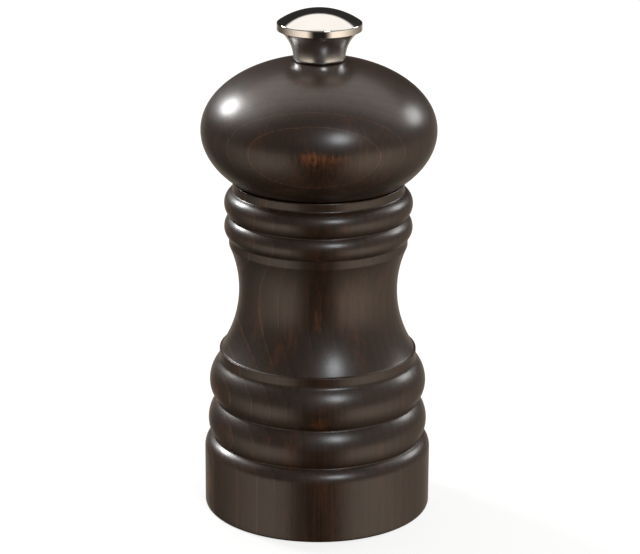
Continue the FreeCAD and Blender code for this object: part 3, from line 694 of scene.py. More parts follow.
def copied(piece, name, shift=(0, 0, 0), turn=0.0):
    """A copy with its own mesh, turned about Z and then moved."""
    choose(piece)
    bpy.ops.object.duplicate()
    twin = bpy.context.object
    twin.location = shift
    twin.rotation_euler = (0, 0, math.radians(turn))
    return seat(twin, name)

# %% Foot screws
PAN_RADIUS = 2.1 * MM
foot_screw_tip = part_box("housing_screws")[1][2]
bridge_screw_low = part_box("bridge_screws")[0][2]
housing_screw_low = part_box("housing_screws")[0][2]


def pan_head(low):
    under = low + 1.5 * MM
    return [(0.0, low)] + upright_arc((PAN_RADIUS, under), (1.35 * MM, low))[::-1] + [(SHANK_NECK, under)]


screws = {}
for kind, low, start in (("bridge_screw", bridge_screw_low, 0), ("housing_screw", housing_screw_low, 90)):
    first = wood_screw("pan_head_screw", pan_head(low), low + 1.5 * MM, foot_screw_tip)
    screws[kind] = [copied(first, f"{kind}_{k + 1}", (x, y, 0), 25 + 50 * k)
                    for k, (x, y) in enumerate(places(SCREW_CIRCLE, 2, start))]
    bpy.data.objects.remove(first)
    print(kind, len(screws[kind][0].data.polygons), "faces each")

# %% Plate screws
plate_screw_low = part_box("plate_screws")[0][2]
FLAT_HEAD = 2.4 * MM
flat_head = [(0.0, plate_screw_low), (FLAT_HEAD, plate_screw_low),
             (SHANK_NECK, plate_screw_low + FLAT_HEAD - SHANK_NECK)]
first = wood_screw("flat_head_screw", flat_head, plate_screw_low + FLAT_HEAD - SCREW_SHANK, plate_screw_top)
screws["plate_screw"] = [copied(first, f"plate_screw_{k + 1}", (x, y, 0), 20 + 65 * k)
                         for k, (x, y) in enumerate(places(PLATE_SCREW_CIRCLE, PLATE_SCREW_COUNT, 90))]
bpy.data.objects.remove(first)

# %% [markdown]
# ## The shaft
#
# A drawn square bar runs through the whole mill. Its lower end is turned down twice, for the nut and for
# the bearing, and its upper end is turned and threaded for the knob. The square is a block with its long
# edges chamfered; the round ends are turned and joined on.

# %% Drive shaft
shaft_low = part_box("drive_shaft")[0][2]
nut_radius, nut_low, nut_top = node_size("cone_nut")
burr_radius, cone_low, cone_top = node_size("cone_burr")
STUD_RADIUS = 2.0 * MM
JOURNAL_RADIUS = 1.9 * MM
THREAD_RADIUS = 2.5 * MM
THREAD_LENGTH = 13.0 * MM
THREAD_PITCH = 0.8 * MM
thread_low = shaft_top - THREAD_LENGTH
half = SHAFT_SIDE / 2
shaft = softened(block("drive_shaft_steel", (-half, -half, cone_low), (half, half, thread_low)), 0.35 * MM, 3)
tail = turned("tail", [
    (0.0, shaft_low), (JOURNAL_RADIUS, shaft_low), (JOURNAL_RADIUS, nut_low), (STUD_RADIUS, nut_low),
    (STUD_RADIUS, cone_low + MM), (0.0, cone_low + MM)], ease=0.25 * MM, rounds=64, step=MM)
combine(shaft, tail, "UNION")
blank = turned("blank", [
    (0.0, thread_low - MM), (1.9 * MM, thread_low - MM), (1.9 * MM, thread_low + 0.7 * MM),
    (THREAD_RADIUS, thread_low + 1.3 * MM), (THREAD_RADIUS, shaft_top - 0.5 * MM),
    (THREAD_RADIUS - 0.5 * MM, shaft_top), (0.0, shaft_top)], ease=0.08 * MM, rounds=64, step=MM)
thread = threaded("thread", THREAD_RADIUS, 0.49 * MM, THREAD_PITCH, thread_low, shaft_top, blank)
combine(shaft, thread, "UNION")
mended(shaft)
print("shaft", len(shaft.data.polygons), "faces")

# %% [markdown]
# ## The nut
#
# The nut that holds the cone on its stud is a six-sided bar. Crossing it with a turned disc that has
# sloping shoulders gives the curved chamfers that every machined nut has.

# %% Cone nut
nut = rod("cone_nut_steel", nut_radius, nut_low, nut_top, sides=6)
nut.rotation_euler = (0, 0, math.radians(30))
seat(nut, "cone_nut_steel")
flats = nut_radius * math.sqrt(3) / 2
shoulder = 0.42 * MM
disc = turned("disc", [
    (0.0, nut_low), (flats * 0.95, nut_low), (nut_radius + 0.05 * MM, nut_low + shoulder),
    (nut_radius + 0.05 * MM, nut_top - shoulder), (flats * 0.95, nut_top), (0.0, nut_top)],
    ease=0.03 * MM, rounds=96, step=MM)
combine(nut, disc, "INTERSECT")
hole = turned("hole", [
    (0.0, nut_low - MM), (STUD_RADIUS + 0.3 * MM, nut_low - 0.01 * MM),
    (STUD_RADIUS + 0.02 * MM, nut_low + 0.28 * MM),
    (STUD_RADIUS + 0.02 * MM, nut_top + MM), (0.0, nut_top + MM)], ease=0.01 * MM, rounds=64, step=MM)
smooth(softened(combine(nut, hole), 0.05 * MM, 2, 40), 40)

# %% [markdown]
# ## The burrs
#
# The cone turns inside the ring. Both have thirty fine saw teeth that lean opposite ways, so their edges
# shear the pepper, and coarser teeth above that crack whole corns and feed them down. A toothed blank is
# a many-sided disc: its corners are pulled in to make one saw tooth after another, and the disc is then
# extruded upwards, a little turned and scaled at each step. The ring is cut by such a blank.

# %% Cut teeth
def turn_about_z(degrees):
    """Turns the selected vertices; without a window the operator turns the other way, hence the sign."""
    bpy.ops.transform.rotate(value=-math.radians(degrees), orient_axis="Z", center_override=(0, 0, 0))


def toothed(name, teeth, points, low, high, low_tip, high_tip, depth, twist, lean=0.25, layers=6):
    """A closed blank with saw teeth; lean is the steep flank's share of a tooth."""
    deselect()
    bpy.ops.mesh.primitive_circle_add(
        vertices=teeth * points, radius=low_tip, fill_type="NGON", location=(0, 0, low))
    blank = seat(bpy.context.object, name)
    edit(blank)
    for k in range(1, points):
        along = k / points
        fall = along / lean if along <= lean else (1 - along) / (1 - lean)

        def here(co):
            turn = math.atan2(co.y, co.x) / (2 * math.pi) * teeth
            return round(turn % 1 * points) % points == k

        pick(here)
        factor = 1 - depth * fall / low_tip
        bpy.ops.transform.resize(value=(factor, factor, 1), center_override=(0, 0, low))
    bpy.ops.mesh.select_all(action="SELECT")
    rise = (high - low) / layers
    tip = low_tip
    for k in range(layers):
        next_tip = low_tip + (high_tip - low_tip) * (k + 1) / layers
        bpy.ops.mesh.extrude_region_move(TRANSFORM_OT_translate={"value": (0, 0, rise)})
        bpy.ops.transform.resize(value=(next_tip / tip, next_tip / tip, 1), center_override=(0, 0, low))
        turn_about_z(twist / layers)
        tip = next_tip
    leave()
    return tidy(blank)

# %% Cone burr
FINE_TEETH, FINE_DEPTH, FINE_TWIST = 30, 0.7 * MM, 12.0
cone_fine_top = cone_low + 7.2 * MM
cone_fine_tip = burr_radius - 7.2 * MM * math.tan(math.radians(14))
breaker_tip = cone_fine_tip - FINE_DEPTH
CONE_TOP_RADIUS = 6.6 * MM
cone = toothed("cone_burr_steel", FINE_TEETH, 4, cone_low, cone_fine_top, burr_radius, cone_fine_tip,
               FINE_DEPTH, -FINE_TWIST)
breaker = toothed("breaker", 6, 12, cone_fine_top - 0.5 * MM, cone_top, breaker_tip, CONE_TOP_RADIUS,
                  1.1 * MM, -30.0)
combine(cone, breaker, "UNION")
square_cut(cone, cone_low, cone_top)
print("cone", len(cone.data.polygons), "faces")

# %% Ring burr
ring_radius, ring_low, ring_top = node_size("ring_burr")
RING_WALL = 2.6 * MM
FINE_HEIGHT = 6.0 * MM
THROAT_SPREAD = 1.6 * MM
slope = math.tan(math.radians(14))
ring_mouth = ring_radius - RING_WALL
ring_waist = ring_mouth - FINE_HEIGHT * slope
ring_waist_z = ring_low + FINE_HEIGHT
OVERRUN = 0.5 * MM
burr = turned("ring_burr_steel", [(2 * MM, ring_low), (ring_radius, ring_low), (ring_radius, ring_top),
                                  (2 * MM, ring_top)], ease=0.2 * MM, rounds=160)
fine = toothed("fine", FINE_TEETH, 4, ring_low - OVERRUN, ring_waist_z,
               ring_mouth + OVERRUN * slope + FINE_DEPTH, ring_waist + FINE_DEPTH, FINE_DEPTH, FINE_TWIST)
combine(burr, fine)
throat = ring_waist + THROAT_SPREAD * (1 + OVERRUN / (ring_top - ring_waist_z))
coarse = toothed("coarse", 10, 8, ring_waist_z - 0.2 * MM, ring_top + OVERRUN, ring_waist + 0.9 * MM,
                 throat + 0.9 * MM, 0.9 * MM, 16.0)
combine(burr, coarse)
smooth(softened(burr, 0.05 * MM, 1, 50), 30)
print("ring", len(burr.data.polygons), "faces")

# %% [markdown]
# ## The burr spring
#
# The spring is wound from drawn wire with its two end turns closed, so that it stands flat on its seat.
# A small disc, the wire's section, is extruded step by step round Z. In the end turns it climbs by one
# wire's thickness a turn, and in between by what is left of the height.

# %% Wind the spring
WIRE = 0.9 * MM
WIRE_SIDES = 12
WINDING_STEPS = 24
OPEN_TURNS = 2.6
spring_outer, spring_low, spring_high = node_size("burr_spring")
coil_radius = spring_outer - WIRE / 2
closed_climb = WIRE * 1.02
deselect()
bpy.ops.mesh.primitive_circle_add(
    vertices=WIRE_SIDES, radius=WIRE / 2, fill_type="NGON",
    location=(coil_radius, 0, spring_low + WIRE / 2), rotation=(math.pi / 2, 0, 0))
spring = seat(bpy.context.object, "burr_spring_wire")
edit(spring)
bpy.ops.mesh.select_all(action="SELECT")
open_climb = (spring_high - spring_low - WIRE - 2 * closed_climb) / OPEN_TURNS
for turns, climb in ((1, closed_climb), (OPEN_TURNS, open_climb), (1, closed_climb)):
    count = round(turns * WINDING_STEPS)
    for k in range(count):
        bpy.ops.mesh.extrude_region_move(TRANSFORM_OT_translate={"value": (0, 0, climb * turns / count)})
        turn_about_z(360 * turns / count)
leave()
smooth(tidy(spring), 50)
print("spring", round((spring_high - spring_low) / MM, 2), "mm,", len(spring.data.polygons), "faces")

# %% [markdown]
# ## The bridges
#
# Two strips of steel carry the shaft's ends. The lower one is joggled: its middle hangs below its ends. A
# block is its level middle, its end faces are extruded down the slope and along the flange, and a bevel
# across each bend gives the radius of the press tool. The upper one is a spider with three arms that
# rise in a soft S to a raised hub.

# %% Bottom bridge
BRIDGE_WIDTH = 8.0 * MM
BRIDGE_THICKNESS = 1.5 * MM
BRIDGE_SLOPE_RUN = 4.4 * MM
bridge_end, bridge_low, bridge_high = node_size("bottom_bridge")
shoulder_x = ring_radius - 0.2 * MM
middle_x = shoulder_x - BRIDGE_SLOPE_RUN
climb = bridge_high - bridge_low - BRIDGE_THICKNESS
slant = math.hypot(BRIDGE_SLOPE_RUN, climb)
shift = BRIDGE_THICKNESS * (slant - BRIDGE_SLOPE_RUN) / climb
bridge = block("bottom_bridge_steel", (-middle_x, -BRIDGE_WIDTH / 2, bridge_low),
               (middle_x, BRIDGE_WIDTH / 2, bridge_low + BRIDGE_THICKNESS))
edit(bridge)
for side in (-1, 1):
    pick(lambda co: co.x * side > middle_x - 0.1 * MM, "FACE")
    bpy.ops.mesh.extrude_region_move(TRANSFORM_OT_translate={"value": (side * BRIDGE_SLOPE_RUN, 0, climb)})
    bpy.ops.mesh.extrude_region_move(
        TRANSFORM_OT_translate={"value": (side * (bridge_end - shoulder_x), 0, 0)})
    pick(lambda co: abs(co.x * side - middle_x) < 0.1 * MM and co.z < bridge_low + 0.1 * MM
         or abs(co.x * side - shoulder_x) < 0.1 * MM and co.z < bridge_high - MM)
    bpy.ops.transform.translate(value=(side * shift, 0, 0))
pick(lambda co: abs(co.y) < 0.1 * MM and middle_x - 0.1 * MM < abs(co.x) < bridge_end - 0.3 * MM
     and (min(abs(abs(co.x) - middle_x), abs(abs(co.x) - middle_x - shift), abs(abs(co.x) - shoulder_x),
              abs(abs(co.x) - shoulder_x - shift)) < 0.05 * MM), "EDGE")
bpy.ops.mesh.bevel(offset=0.7 * MM, segments=4, affect="EDGES")
leave()
combine(bridge, rod("rounding", bridge_end, 0, bridge_high + MM, sides=160), "INTERSECT")
combine(bridge, rod("hub_hole", BEARING_HUB + SEAT_GAP, 0, bridge_low + 3 * MM, sides=64))
for x, y in places(SCREW_CIRCLE, 2):
    combine(bridge, rod("hole", SCREW_HOLE, bridge_low, bridge_high + MM, x, y, 40))
smooth(softened(bridge, 0.1 * MM, 2, 50), 40)
print("bridge", len(bridge.data.polygons), "faces")

# %% Upper bridge
SPIDER_RIM = 1.6 * MM
SPIDER_HUB = 6.5 * MM
ARM_WIDTH = 4.0 * MM
ARMS = 3
ARM_STATIONS = 9
spider_low = ring_top
spider_rim_top = spider_low + BRIDGE_THICKNESS
spider_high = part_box("upper_bridge")[1][2]
rim_inner = ring_radius - SPIDER_RIM
spider = turned("upper_bridge_steel", [
    (rim_inner, spider_low), (ring_radius, spider_low), (ring_radius, spider_rim_top),
    (rim_inner, spider_rim_top)], ease=0.15 * MM)
hub_bore, hub_floor = GUIDE_HUB + SHELL_GAP, spider_high - BRIDGE_THICKNESS
hub = turned("hub", [(hub_bore, hub_floor), (SPIDER_HUB, hub_floor), (SPIDER_HUB, spider_high),
                     (hub_bore, spider_high)], ease=0.15 * MM, rounds=96)
near, far = SPIDER_HUB - 0.35 * MM, rim_inner + 0.5 * MM
inset = 0.02 * MM           # keeps the arms' faces off the rim's and the hub's
arm = block("arm", (near, -ARM_WIDTH / 2, spider_low + inset), (far, ARM_WIDTH / 2, spider_rim_top - inset))
edit(arm)
pick(lambda co: abs(co.x - (near + far) / 2) < 0.1 * MM, "EDGE")
bpy.ops.mesh.subdivide(number_cuts=ARM_STATIONS)
lift = spider_high - spider_rim_top
for k in range(ARM_STATIONS + 2):
    station = far + (near - far) * k / (ARM_STATIONS + 1)
    part = k / (ARM_STATIONS + 1)
    pick(lambda co: abs(co.x - station) < 0.05 * MM)
    bpy.ops.transform.translate(value=(0, 0, lift * part * part * (3 - 2 * part)))
leave()
tidy(arm)
for k in range(ARMS):
    combine(spider, copied(arm, "arm_copy", turn=90 + 360 * k / ARMS), "UNION")
bpy.data.objects.remove(arm)
combine(spider, hub, "UNION")
smooth(softened(spider, 0.1 * MM, 2, 50), 40)
print("spider", len(spider.data.polygons), "faces")

# %% [markdown]
# ## The studio
#
# A table-top picture on a white sweep. Three soft boxes draw the bright spots: one high at the left rear,
# a weaker one at the right rear and a small one beside the camera. All the rest of the light comes from
# the world, which is painted as a studio would look from where the mill stands: a wide white ceiling
# panel, dim walls that are darkest at the back, and two pale reflector cards low at the front with a gap
# between them. That gap is what gives turned wood its dark stripe down the middle.

# %% Camera
CAMERA_HEIGHT_ANGLE = math.radians(17.865)
CAMERA_DISTANCE = 0.592
CAMERA_LENS = 140.9
CAMERA_ROLL = math.radians(0.337)
look_at = Vector((0.00044, 0.0, 0.05654))
camera_data = bpy.data.cameras.new("camera")
camera_data.lens = CAMERA_LENS
camera_data.sensor_width = 36
camera_data.clip_start = 0.01
camera = bpy.data.objects.new("camera", camera_data)
bpy.context.scene.collection.objects.link(camera)
camera.location = (
    0.0,
    -CAMERA_DISTANCE * math.cos(CAMERA_HEIGHT_ANGLE),
    look_at.z + CAMERA_DISTANCE * math.sin(CAMERA_HEIGHT_ANGLE),
)
aim = (look_at - camera.location).to_track_quat("-Z", "Y").to_euler()
aim.rotate_axis("Z", CAMERA_ROLL)
camera.rotation_euler = aim
bpy.context.scene.camera = camera
bpy.context.scene.view_settings.view_transform = "Standard"
print("camera at", [round(v, 4) for v in camera.location])

# %% Soft boxes
def soft_box(name, turn, height, distance, size, power, tint=(1, 1, 1)):
    """A round light that faces the mill, turn degrees round from the camera and height degrees up."""
    data = bpy.data.lights.new(name, "AREA")
    data.shape = "ELLIPSE"
    data.size, data.size_y = size
    data.energy = power
    data.color = tint
    lamp = bpy.data.objects.new(name, data)
    bpy.context.scene.collection.objects.link(lamp)
    a, e = math.radians(turn), math.radians(height)
    target = Vector((0, 0, 0.07))
    toward = Vector((math.sin(a) * math.cos(e), -math.cos(a) * math.cos(e), math.sin(e)))
    lamp.location = target + toward * distance
    lamp.rotation_euler = (-toward).to_track_quat("-Z", "Y").to_euler()
    return lamp


soft_box("rear_left_box", -128, 29, 1.3, (0.40, 0.34), 11)
soft_box("rear_right_box", 121, 23, 1.5, (0.56, 0.46), 5.0)
soft_box("camera_box", 22, 33, 1.4, (0.34, 0.46), 6, (0.90, 0.95, 1.0))

# %% [markdown]
# ## Building with nodes
#
# A finish is a small tree of nodes. These helpers keep the trees short: one adds a node with its
# settings, one does arithmetic, one makes a smooth step, and one blends two colours by a mask.

# %% Node helpers
def feed(tree, socket, value):
    """Links a socket to another, or sets it to a value."""
    if isinstance(value, bpy.types.NodeSocket):
        tree.links.new(value, socket)
    else:
        socket.default_value = value


def add(tree, kind, inputs=None, **settings):
    made = tree.nodes.new(kind)
    for key, value in settings.items():
        setattr(made, key, value)
    for key, value in (inputs or {}).items():
        feed(tree, made.inputs[key], value)
    return made


def calc(tree, operation, *values):
    made = add(tree, "ShaderNodeMath", operation=operation)
    for socket, value in zip(made.inputs, values):
        feed(tree, socket, value)
    return made.outputs[0]


def times(tree, a, b):
    return calc(tree, "MULTIPLY", a, b)


def scaled(tree, value, factor, start):
    """value times factor, on top of start."""
    return calc(tree, "MULTIPLY_ADD", value, factor, start)


def rising(tree, value, low, high, bottom=0.0, top=1.0):
    """A smooth step: bottom at low, top at high."""
    limits = {"Value": value, "From Min": low, "From Max": high, "To Min": bottom, "To Max": top}
    return add(tree, "ShaderNodeMapRange", limits, interpolation_type="SMOOTHSTEP").outputs[0]


def blended(tree, mask, low, high):
    """Colour low where the mask is 0 and high where it is 1."""
    made = add(tree, "ShaderNodeMix", data_type="RGBA")
    feed(tree, made.inputs["Factor"], mask)
    feed(tree, made.inputs[6], low)
    feed(tree, made.inputs[7], high)
    return made.outputs[2]


def split(tree, vector):
    return add(tree, "ShaderNodeSeparateXYZ", {"Vector": vector}).outputs


def across_length(tree, x, y):
    """The length of a level vector."""
    squares = [times(tree, side, side) for side in (x, y)]
    return calc(tree, "SQRT", calc(tree, "ADD", *squares))

# %% World and floor
world = bpy.data.worlds.new("studio")
bpy.context.scene.world = world
world.use_nodes = True
sky = world.node_tree
way = add(sky, "ShaderNodeTexCoord").outputs["Generated"]
toward = split(sky, way)
level = across_length(sky, toward["X"], toward["Y"])
ahead = calc(sky, "DIVIDE", times(sky, toward["Y"], -1.0), calc(sky, "MAXIMUM", level, 0.001))
CEILING_LOW, CEILING_HIGH = 0.57, 0.66      # sine of the height angle where the ceiling panel begins
beside = calc(sky, "DIVIDE", toward["X"], calc(sky, "MAXIMUM", level, 0.001))
cards = times(sky, rising(sky, ahead, 0.80, 0.975, 1.25, 0.02),
             rising(sky, ahead, -0.60, 0.80, 0.10, 1.0))
sweep = rising(sky, ahead, -0.80, -0.93, 0.0, 0.30)
window = rising(sky, beside, 0.35, 0.95, 0.0, 0.23)
cards = calc(sky, "ADD", cards, calc(sky, "ADD", sweep, window))
walls = calc(sky, "ADD", rising(sky, ahead, -0.75, 0.25, 0.03, 0.20), times(sky, window, 0.5))
ceiling = rising(sky, toward["Y"], -0.20, 0.25, 0.19, 1.32)
upper = rising(sky, toward["Z"], CEILING_LOW, CEILING_HIGH)
lower = rising(sky, toward["Z"], -0.16, 0.0)
deep = rising(sky, toward["Z"], -0.95, -0.45, 0.15, 1.0)
below = times(sky, cards, deep)
level_light = add(sky, "ShaderNodeMix", {"Factor": lower, "A": below, "B": walls})
strength = add(sky, "ShaderNodeMix", {"Factor": upper, "A": level_light.outputs[0], "B": ceiling}).outputs[0]
tint = blended(sky, lower, (1.0, 0.85, 0.70, 1), (1.0, 0.95, 0.89, 1))
seen = add(sky, "ShaderNodeLightPath").outputs["Is Camera Ray"]
backdrop = sky.nodes["Background"]
feed(sky, backdrop.inputs["Color"], blended(sky, seen, tint, (1, 1, 1, 1)))
feed(sky, backdrop.inputs["Strength"], calc(sky, "MAXIMUM", strength, seen))

deselect()
bpy.ops.mesh.primitive_plane_add(size=6, location=(0, 0, 0))
floor = bpy.context.object
floor.name = "floor"
floor.visible_glossy = False
floor.visible_diffuse = False
paper = bpy.data.materials.new("white paper")
paper.use_nodes = True
sheet = paper.node_tree.nodes["Principled BSDF"]
sheet.inputs["Roughness"].default_value = 0.9
fibre = add(paper.node_tree, "ShaderNodeTexNoise", {"Scale": 60.0, "Detail": 4.0}).outputs["Fac"]
feed(paper.node_tree, sheet.inputs["Base Color"],
     blended(paper.node_tree, fibre, (0.25, 0.25, 0.247, 1), (0.27, 0.27, 0.267, 1)))
sheet.inputs["Emission Color"].default_value = (1, 1, 1, 1)
sheet.inputs["Emission Strength"].default_value = 0.78
behind = add(paper.node_tree, "ShaderNodeNewGeometry").outputs["Backfacing"]
feed(paper.node_tree, sheet.inputs["Alpha"], calc(paper.node_tree, "SUBTRACT", 1.0, behind))
floor.data.materials.append(paper)
print("studio ready")

# %% [markdown]
# ## Node groups
#
# Effects that several finishes share are node groups with named sockets. A group gives out only masks,
# heights and colours, and the shader itself stays in each material.

# %% Group and material helpers
def noise(tree, vector, scale, detail=2.0, roughness=0.5):
    """Cloudy noise; scale is one number, or three for noise that is drawn out along an axis."""
    if isinstance(scale, tuple):
        vector, scale = add(tree, "ShaderNodeMapping", {"Vector": vector, "Scale": scale}).outputs[0], 1.0
    return add(tree, "ShaderNodeTexNoise",
               {"Vector": vector, "Scale": scale, "Detail": detail, "Roughness": roughness}).outputs["Fac"]


def new_group(name, inputs, outputs):
    """An empty node group; inputs are (name, kind, value) and outputs are names of float sockets."""
    tree = bpy.data.node_groups.new(name, "ShaderNodeTree")
    for label, kind, value in inputs:
        socket = tree.interface.new_socket(label, in_out="INPUT", socket_type="NodeSocket" + kind)
        if value is not None:
            socket.default_value = value
    for label in outputs:
        tree.interface.new_socket(label, in_out="OUTPUT", socket_type="NodeSocketFloat")
    return tree, tree.nodes.new("NodeGroupInput").outputs, tree.nodes.new("NodeGroupOutput").inputs


def use_group(tree, group, **inputs):
    made = add(tree, "ShaderNodeGroup", node_tree=group)
    for key, value in inputs.items():
        feed(tree, made.inputs[key.replace("_", " ")], value)
    return made.outputs


def new_finish(name, **values):
    """A material with its Principled shader's fixed values set on the shader's own sockets."""
    material = bpy.data.materials.new(name)
    material.use_nodes = True
    tree = material.node_tree
    shader = tree.nodes["Principled BSDF"]
    for key, value in values.items():
        shader.inputs[key.replace("_", " ")].default_value = value
    return material, tree, shader, add(tree, "ShaderNodeTexCoord").outputs["Object"]


def bump(tree, height, strength, distance, normal=None):
    inputs = {"Height": height, "Strength": strength, "Distance": distance}
    if normal is not None:
        inputs["Normal"] = normal
    return add(tree, "ShaderNodeBump", inputs).outputs["Normal"]


def from_axis(tree, place):
    """How far a point is from the Z axis."""
    spot = split(tree, place)
    return across_length(tree, spot["X"], spot["Y"])

# %% [markdown]
# ## Growth rings
#
# A board is cut from a trunk, so its growth layers are shells round a far-off pith. A turned surface cuts
# across them: where it runs parallel to a layer the line swells into ovals and flames, and where it runs
# across them the lines crowd into fine upright streaks. Measuring the distance from the pith gives both
# for nothing. The board's own axes are: X across the layers, Y along them, Z with the grain.

# %% Growth ring group
rings, ring_in, ring_out = new_group(
    "growth rings",
    [("Board", "Vector", None), ("Pith Distance", "Float", 0.034), ("Ring Width", "Float", 0.00245),
     ("Waviness", "Float", 0.00022)],
    ["Line", "Late Wood", "Year"])
sway = calc(rings, "SUBTRACT", noise(rings, ring_in["Board"], (60, 60, 16)), 0.5)
ripple = calc(rings, "SUBTRACT", noise(rings, ring_in["Board"], (500, 500, 80), 2.0, 0.6), 0.5)
board = split(rings, ring_in["Board"])
across = calc(rings, "ADD", board["X"], ring_in["Pith Distance"])
distance = calc(rings, "SUBTRACT", across_length(rings, across, board["Y"]), ring_in["Pith Distance"])
distance = scaled(rings, sway, times(rings, ring_in["Waviness"], 4.0), distance)
distance = scaled(rings, ripple, ring_in["Waviness"], distance)
years = calc(rings, "DIVIDE", distance, ring_in["Ring Width"])
part_year = calc(rings, "FRACT", years)
line = times(rings, rising(rings, part_year, 0.90, 0.95),
            rising(rings, part_year, 0.955, 0.99, 1.0, 0.0))
feed(rings, ring_out["Line"], line)
feed(rings, ring_out["Late Wood"], rising(rings, part_year, 0.1, 0.9))
each = add(rings, "ShaderNodeTexWhiteNoise", {"W": calc(rings, "FLOOR", years)}, noise_dimensions="1D")
feed(rings, ring_out["Year"], each.outputs["Value"])

# %% [markdown]
# ## Ray flecks
#
# Beech is easy to know by its rays: short brown dashes, a tenth of a millimetre wide and one to three
# long, that always run with the grain. They are noise drawn out along Z and cut off at a threshold.
# Finer noise of the same kind stands for the pores, which soak up stain.

# %% Ray fleck group
FLECKS = {
    "Rays": ((3800, 3800, 420), 1.0, 0.5, 0.60, 0.68),
    "Pores": ((9000, 9000, 600), 1.0, 0.5, 0.42, 0.68),
    "Streaks": ((1300, 1300, 45), 3.0, 0.6, 0.35, 0.7),
}
flecks, fleck_in, fleck_out = new_group("ray flecks", [("Board", "Vector", None)], list(FLECKS))
for label, (scale, detail, roughness, low, high) in FLECKS.items():
    drawn = noise(flecks, fleck_in["Board"], scale, detail, roughness)
    feed(flecks, fleck_out[label], rising(flecks, drawn, low, high))

# %% [markdown]
# ## Tool marks
#
# A lathe leaves very fine rings, even after sanding. They follow height on a side and radius on an end,
# so the group adds the two and makes one-dimensional noise of them. Metal has the same marks, only crisper.

# %% Turning mark group
lathe, lathe_in, lathe_out = new_group(
    "turning marks", [("Place", "Vector", None), ("Per Metre", "Float", 4000.0)], ["Height"])
height = split(lathe, lathe_in["Place"])["Z"]
level = scaled(lathe, from_axis(lathe, lathe_in["Place"]), 0.7, height)
turning = times(lathe, level, lathe_in["Per Metre"])
marks = add(lathe, "ShaderNodeTexNoise", {"W": turning, "Scale": 1.0, "Detail": 3.0, "Roughness": 0.6},
            noise_dimensions="1D")
feed(lathe, lathe_out["Height"], marks.outputs["Fac"])

# %% [markdown]
# ## Handling
#
# Nothing is perfectly even. Polish varies in soft patches, edges lose a little of their finish to the
# sanding cloth or to the neighbour that rubs on them, and hollows are darkened. Pointiness tells
# convex edges from hollows.

# %% Handling group
handling, hand_in, hand_out = new_group(
    "handling", [("Place", "Vector", None), ("Patch Size", "Float", 90.0)], ["Patches", "Edges", "Hollows"])
cloud = add(handling, "ShaderNodeTexNoise", {"Vector": hand_in["Place"], "Scale": hand_in["Patch Size"],
                                             "Detail": 4.0, "Roughness": 0.6}).outputs["Fac"]
feed(handling, hand_out["Patches"], rising(handling, cloud, 0.3, 0.7))
pointy = add(handling, "ShaderNodeNewGeometry").outputs["Pointiness"]
broken = rising(handling, noise(handling, hand_in["Place"], 900.0, 3.0, 0.6), 0.35, 0.6)
feed(handling, hand_out["Edges"], times(handling, rising(handling, pointy, 0.515, 0.60), broken))
# Hollows: a mask of the concave places, which the finishes darken
feed(handling, hand_out["Hollows"], rising(handling, pointy, 0.495, 0.42))

# %% [markdown]
# ## Stained beech
#
# The stain is almost black-brown. The dense line that ends each year takes less of it and stays a thin
# orange-brown, brightest where the surface runs along the layer. Here and there the stain is thin and
# the red of the wood glows through between the pores. Satin lacquer lies on top, soft enough to blur a
# window into a glow. Inside the bores nothing was sprayed, so the wood stays pale there.

# %% Stained beech
STAIN = (0.0225, 0.0108, 0.0040, 1)
STAIN_LATE = (0.0135, 0.0066, 0.0028, 1)
STAIN_GLOW = (0.085, 0.0270, 0.0085, 1)
THIN_STAIN = (0.300, 0.0980, 0.0300, 1)
YEAR_LINE = (0.200, 0.084, 0.034, 1)
RAY = (0.0070, 0.0042, 0.0028, 1)
RAW = (0.56, 0.36, 0.20, 1)
RAW_LINE = (0.40, 0.21, 0.10, 1)
RAW_RAY = (0.38, 0.22, 0.12, 1)


def thin_spot(tree, place, centre, size):
    """A soft, ragged patch round a point, given with its half width along each axis."""
    scale = tuple(1 / s for s in size)
    shift = tuple(-c * s for c, s in zip(centre, scale))
    away = add(tree, "ShaderNodeMapping", {"Vector": place, "Scale": scale, "Location": shift}).outputs[0]
    far = add(tree, "ShaderNodeVectorMath", {0: away}, operation="LENGTH").outputs["Value"]
    ragged = scaled(tree, noise(tree, place, (1500, 1500, 500), 3.0, 0.65), 1.5, far)
    return rising(tree, ragged, 1.75, 0.75)


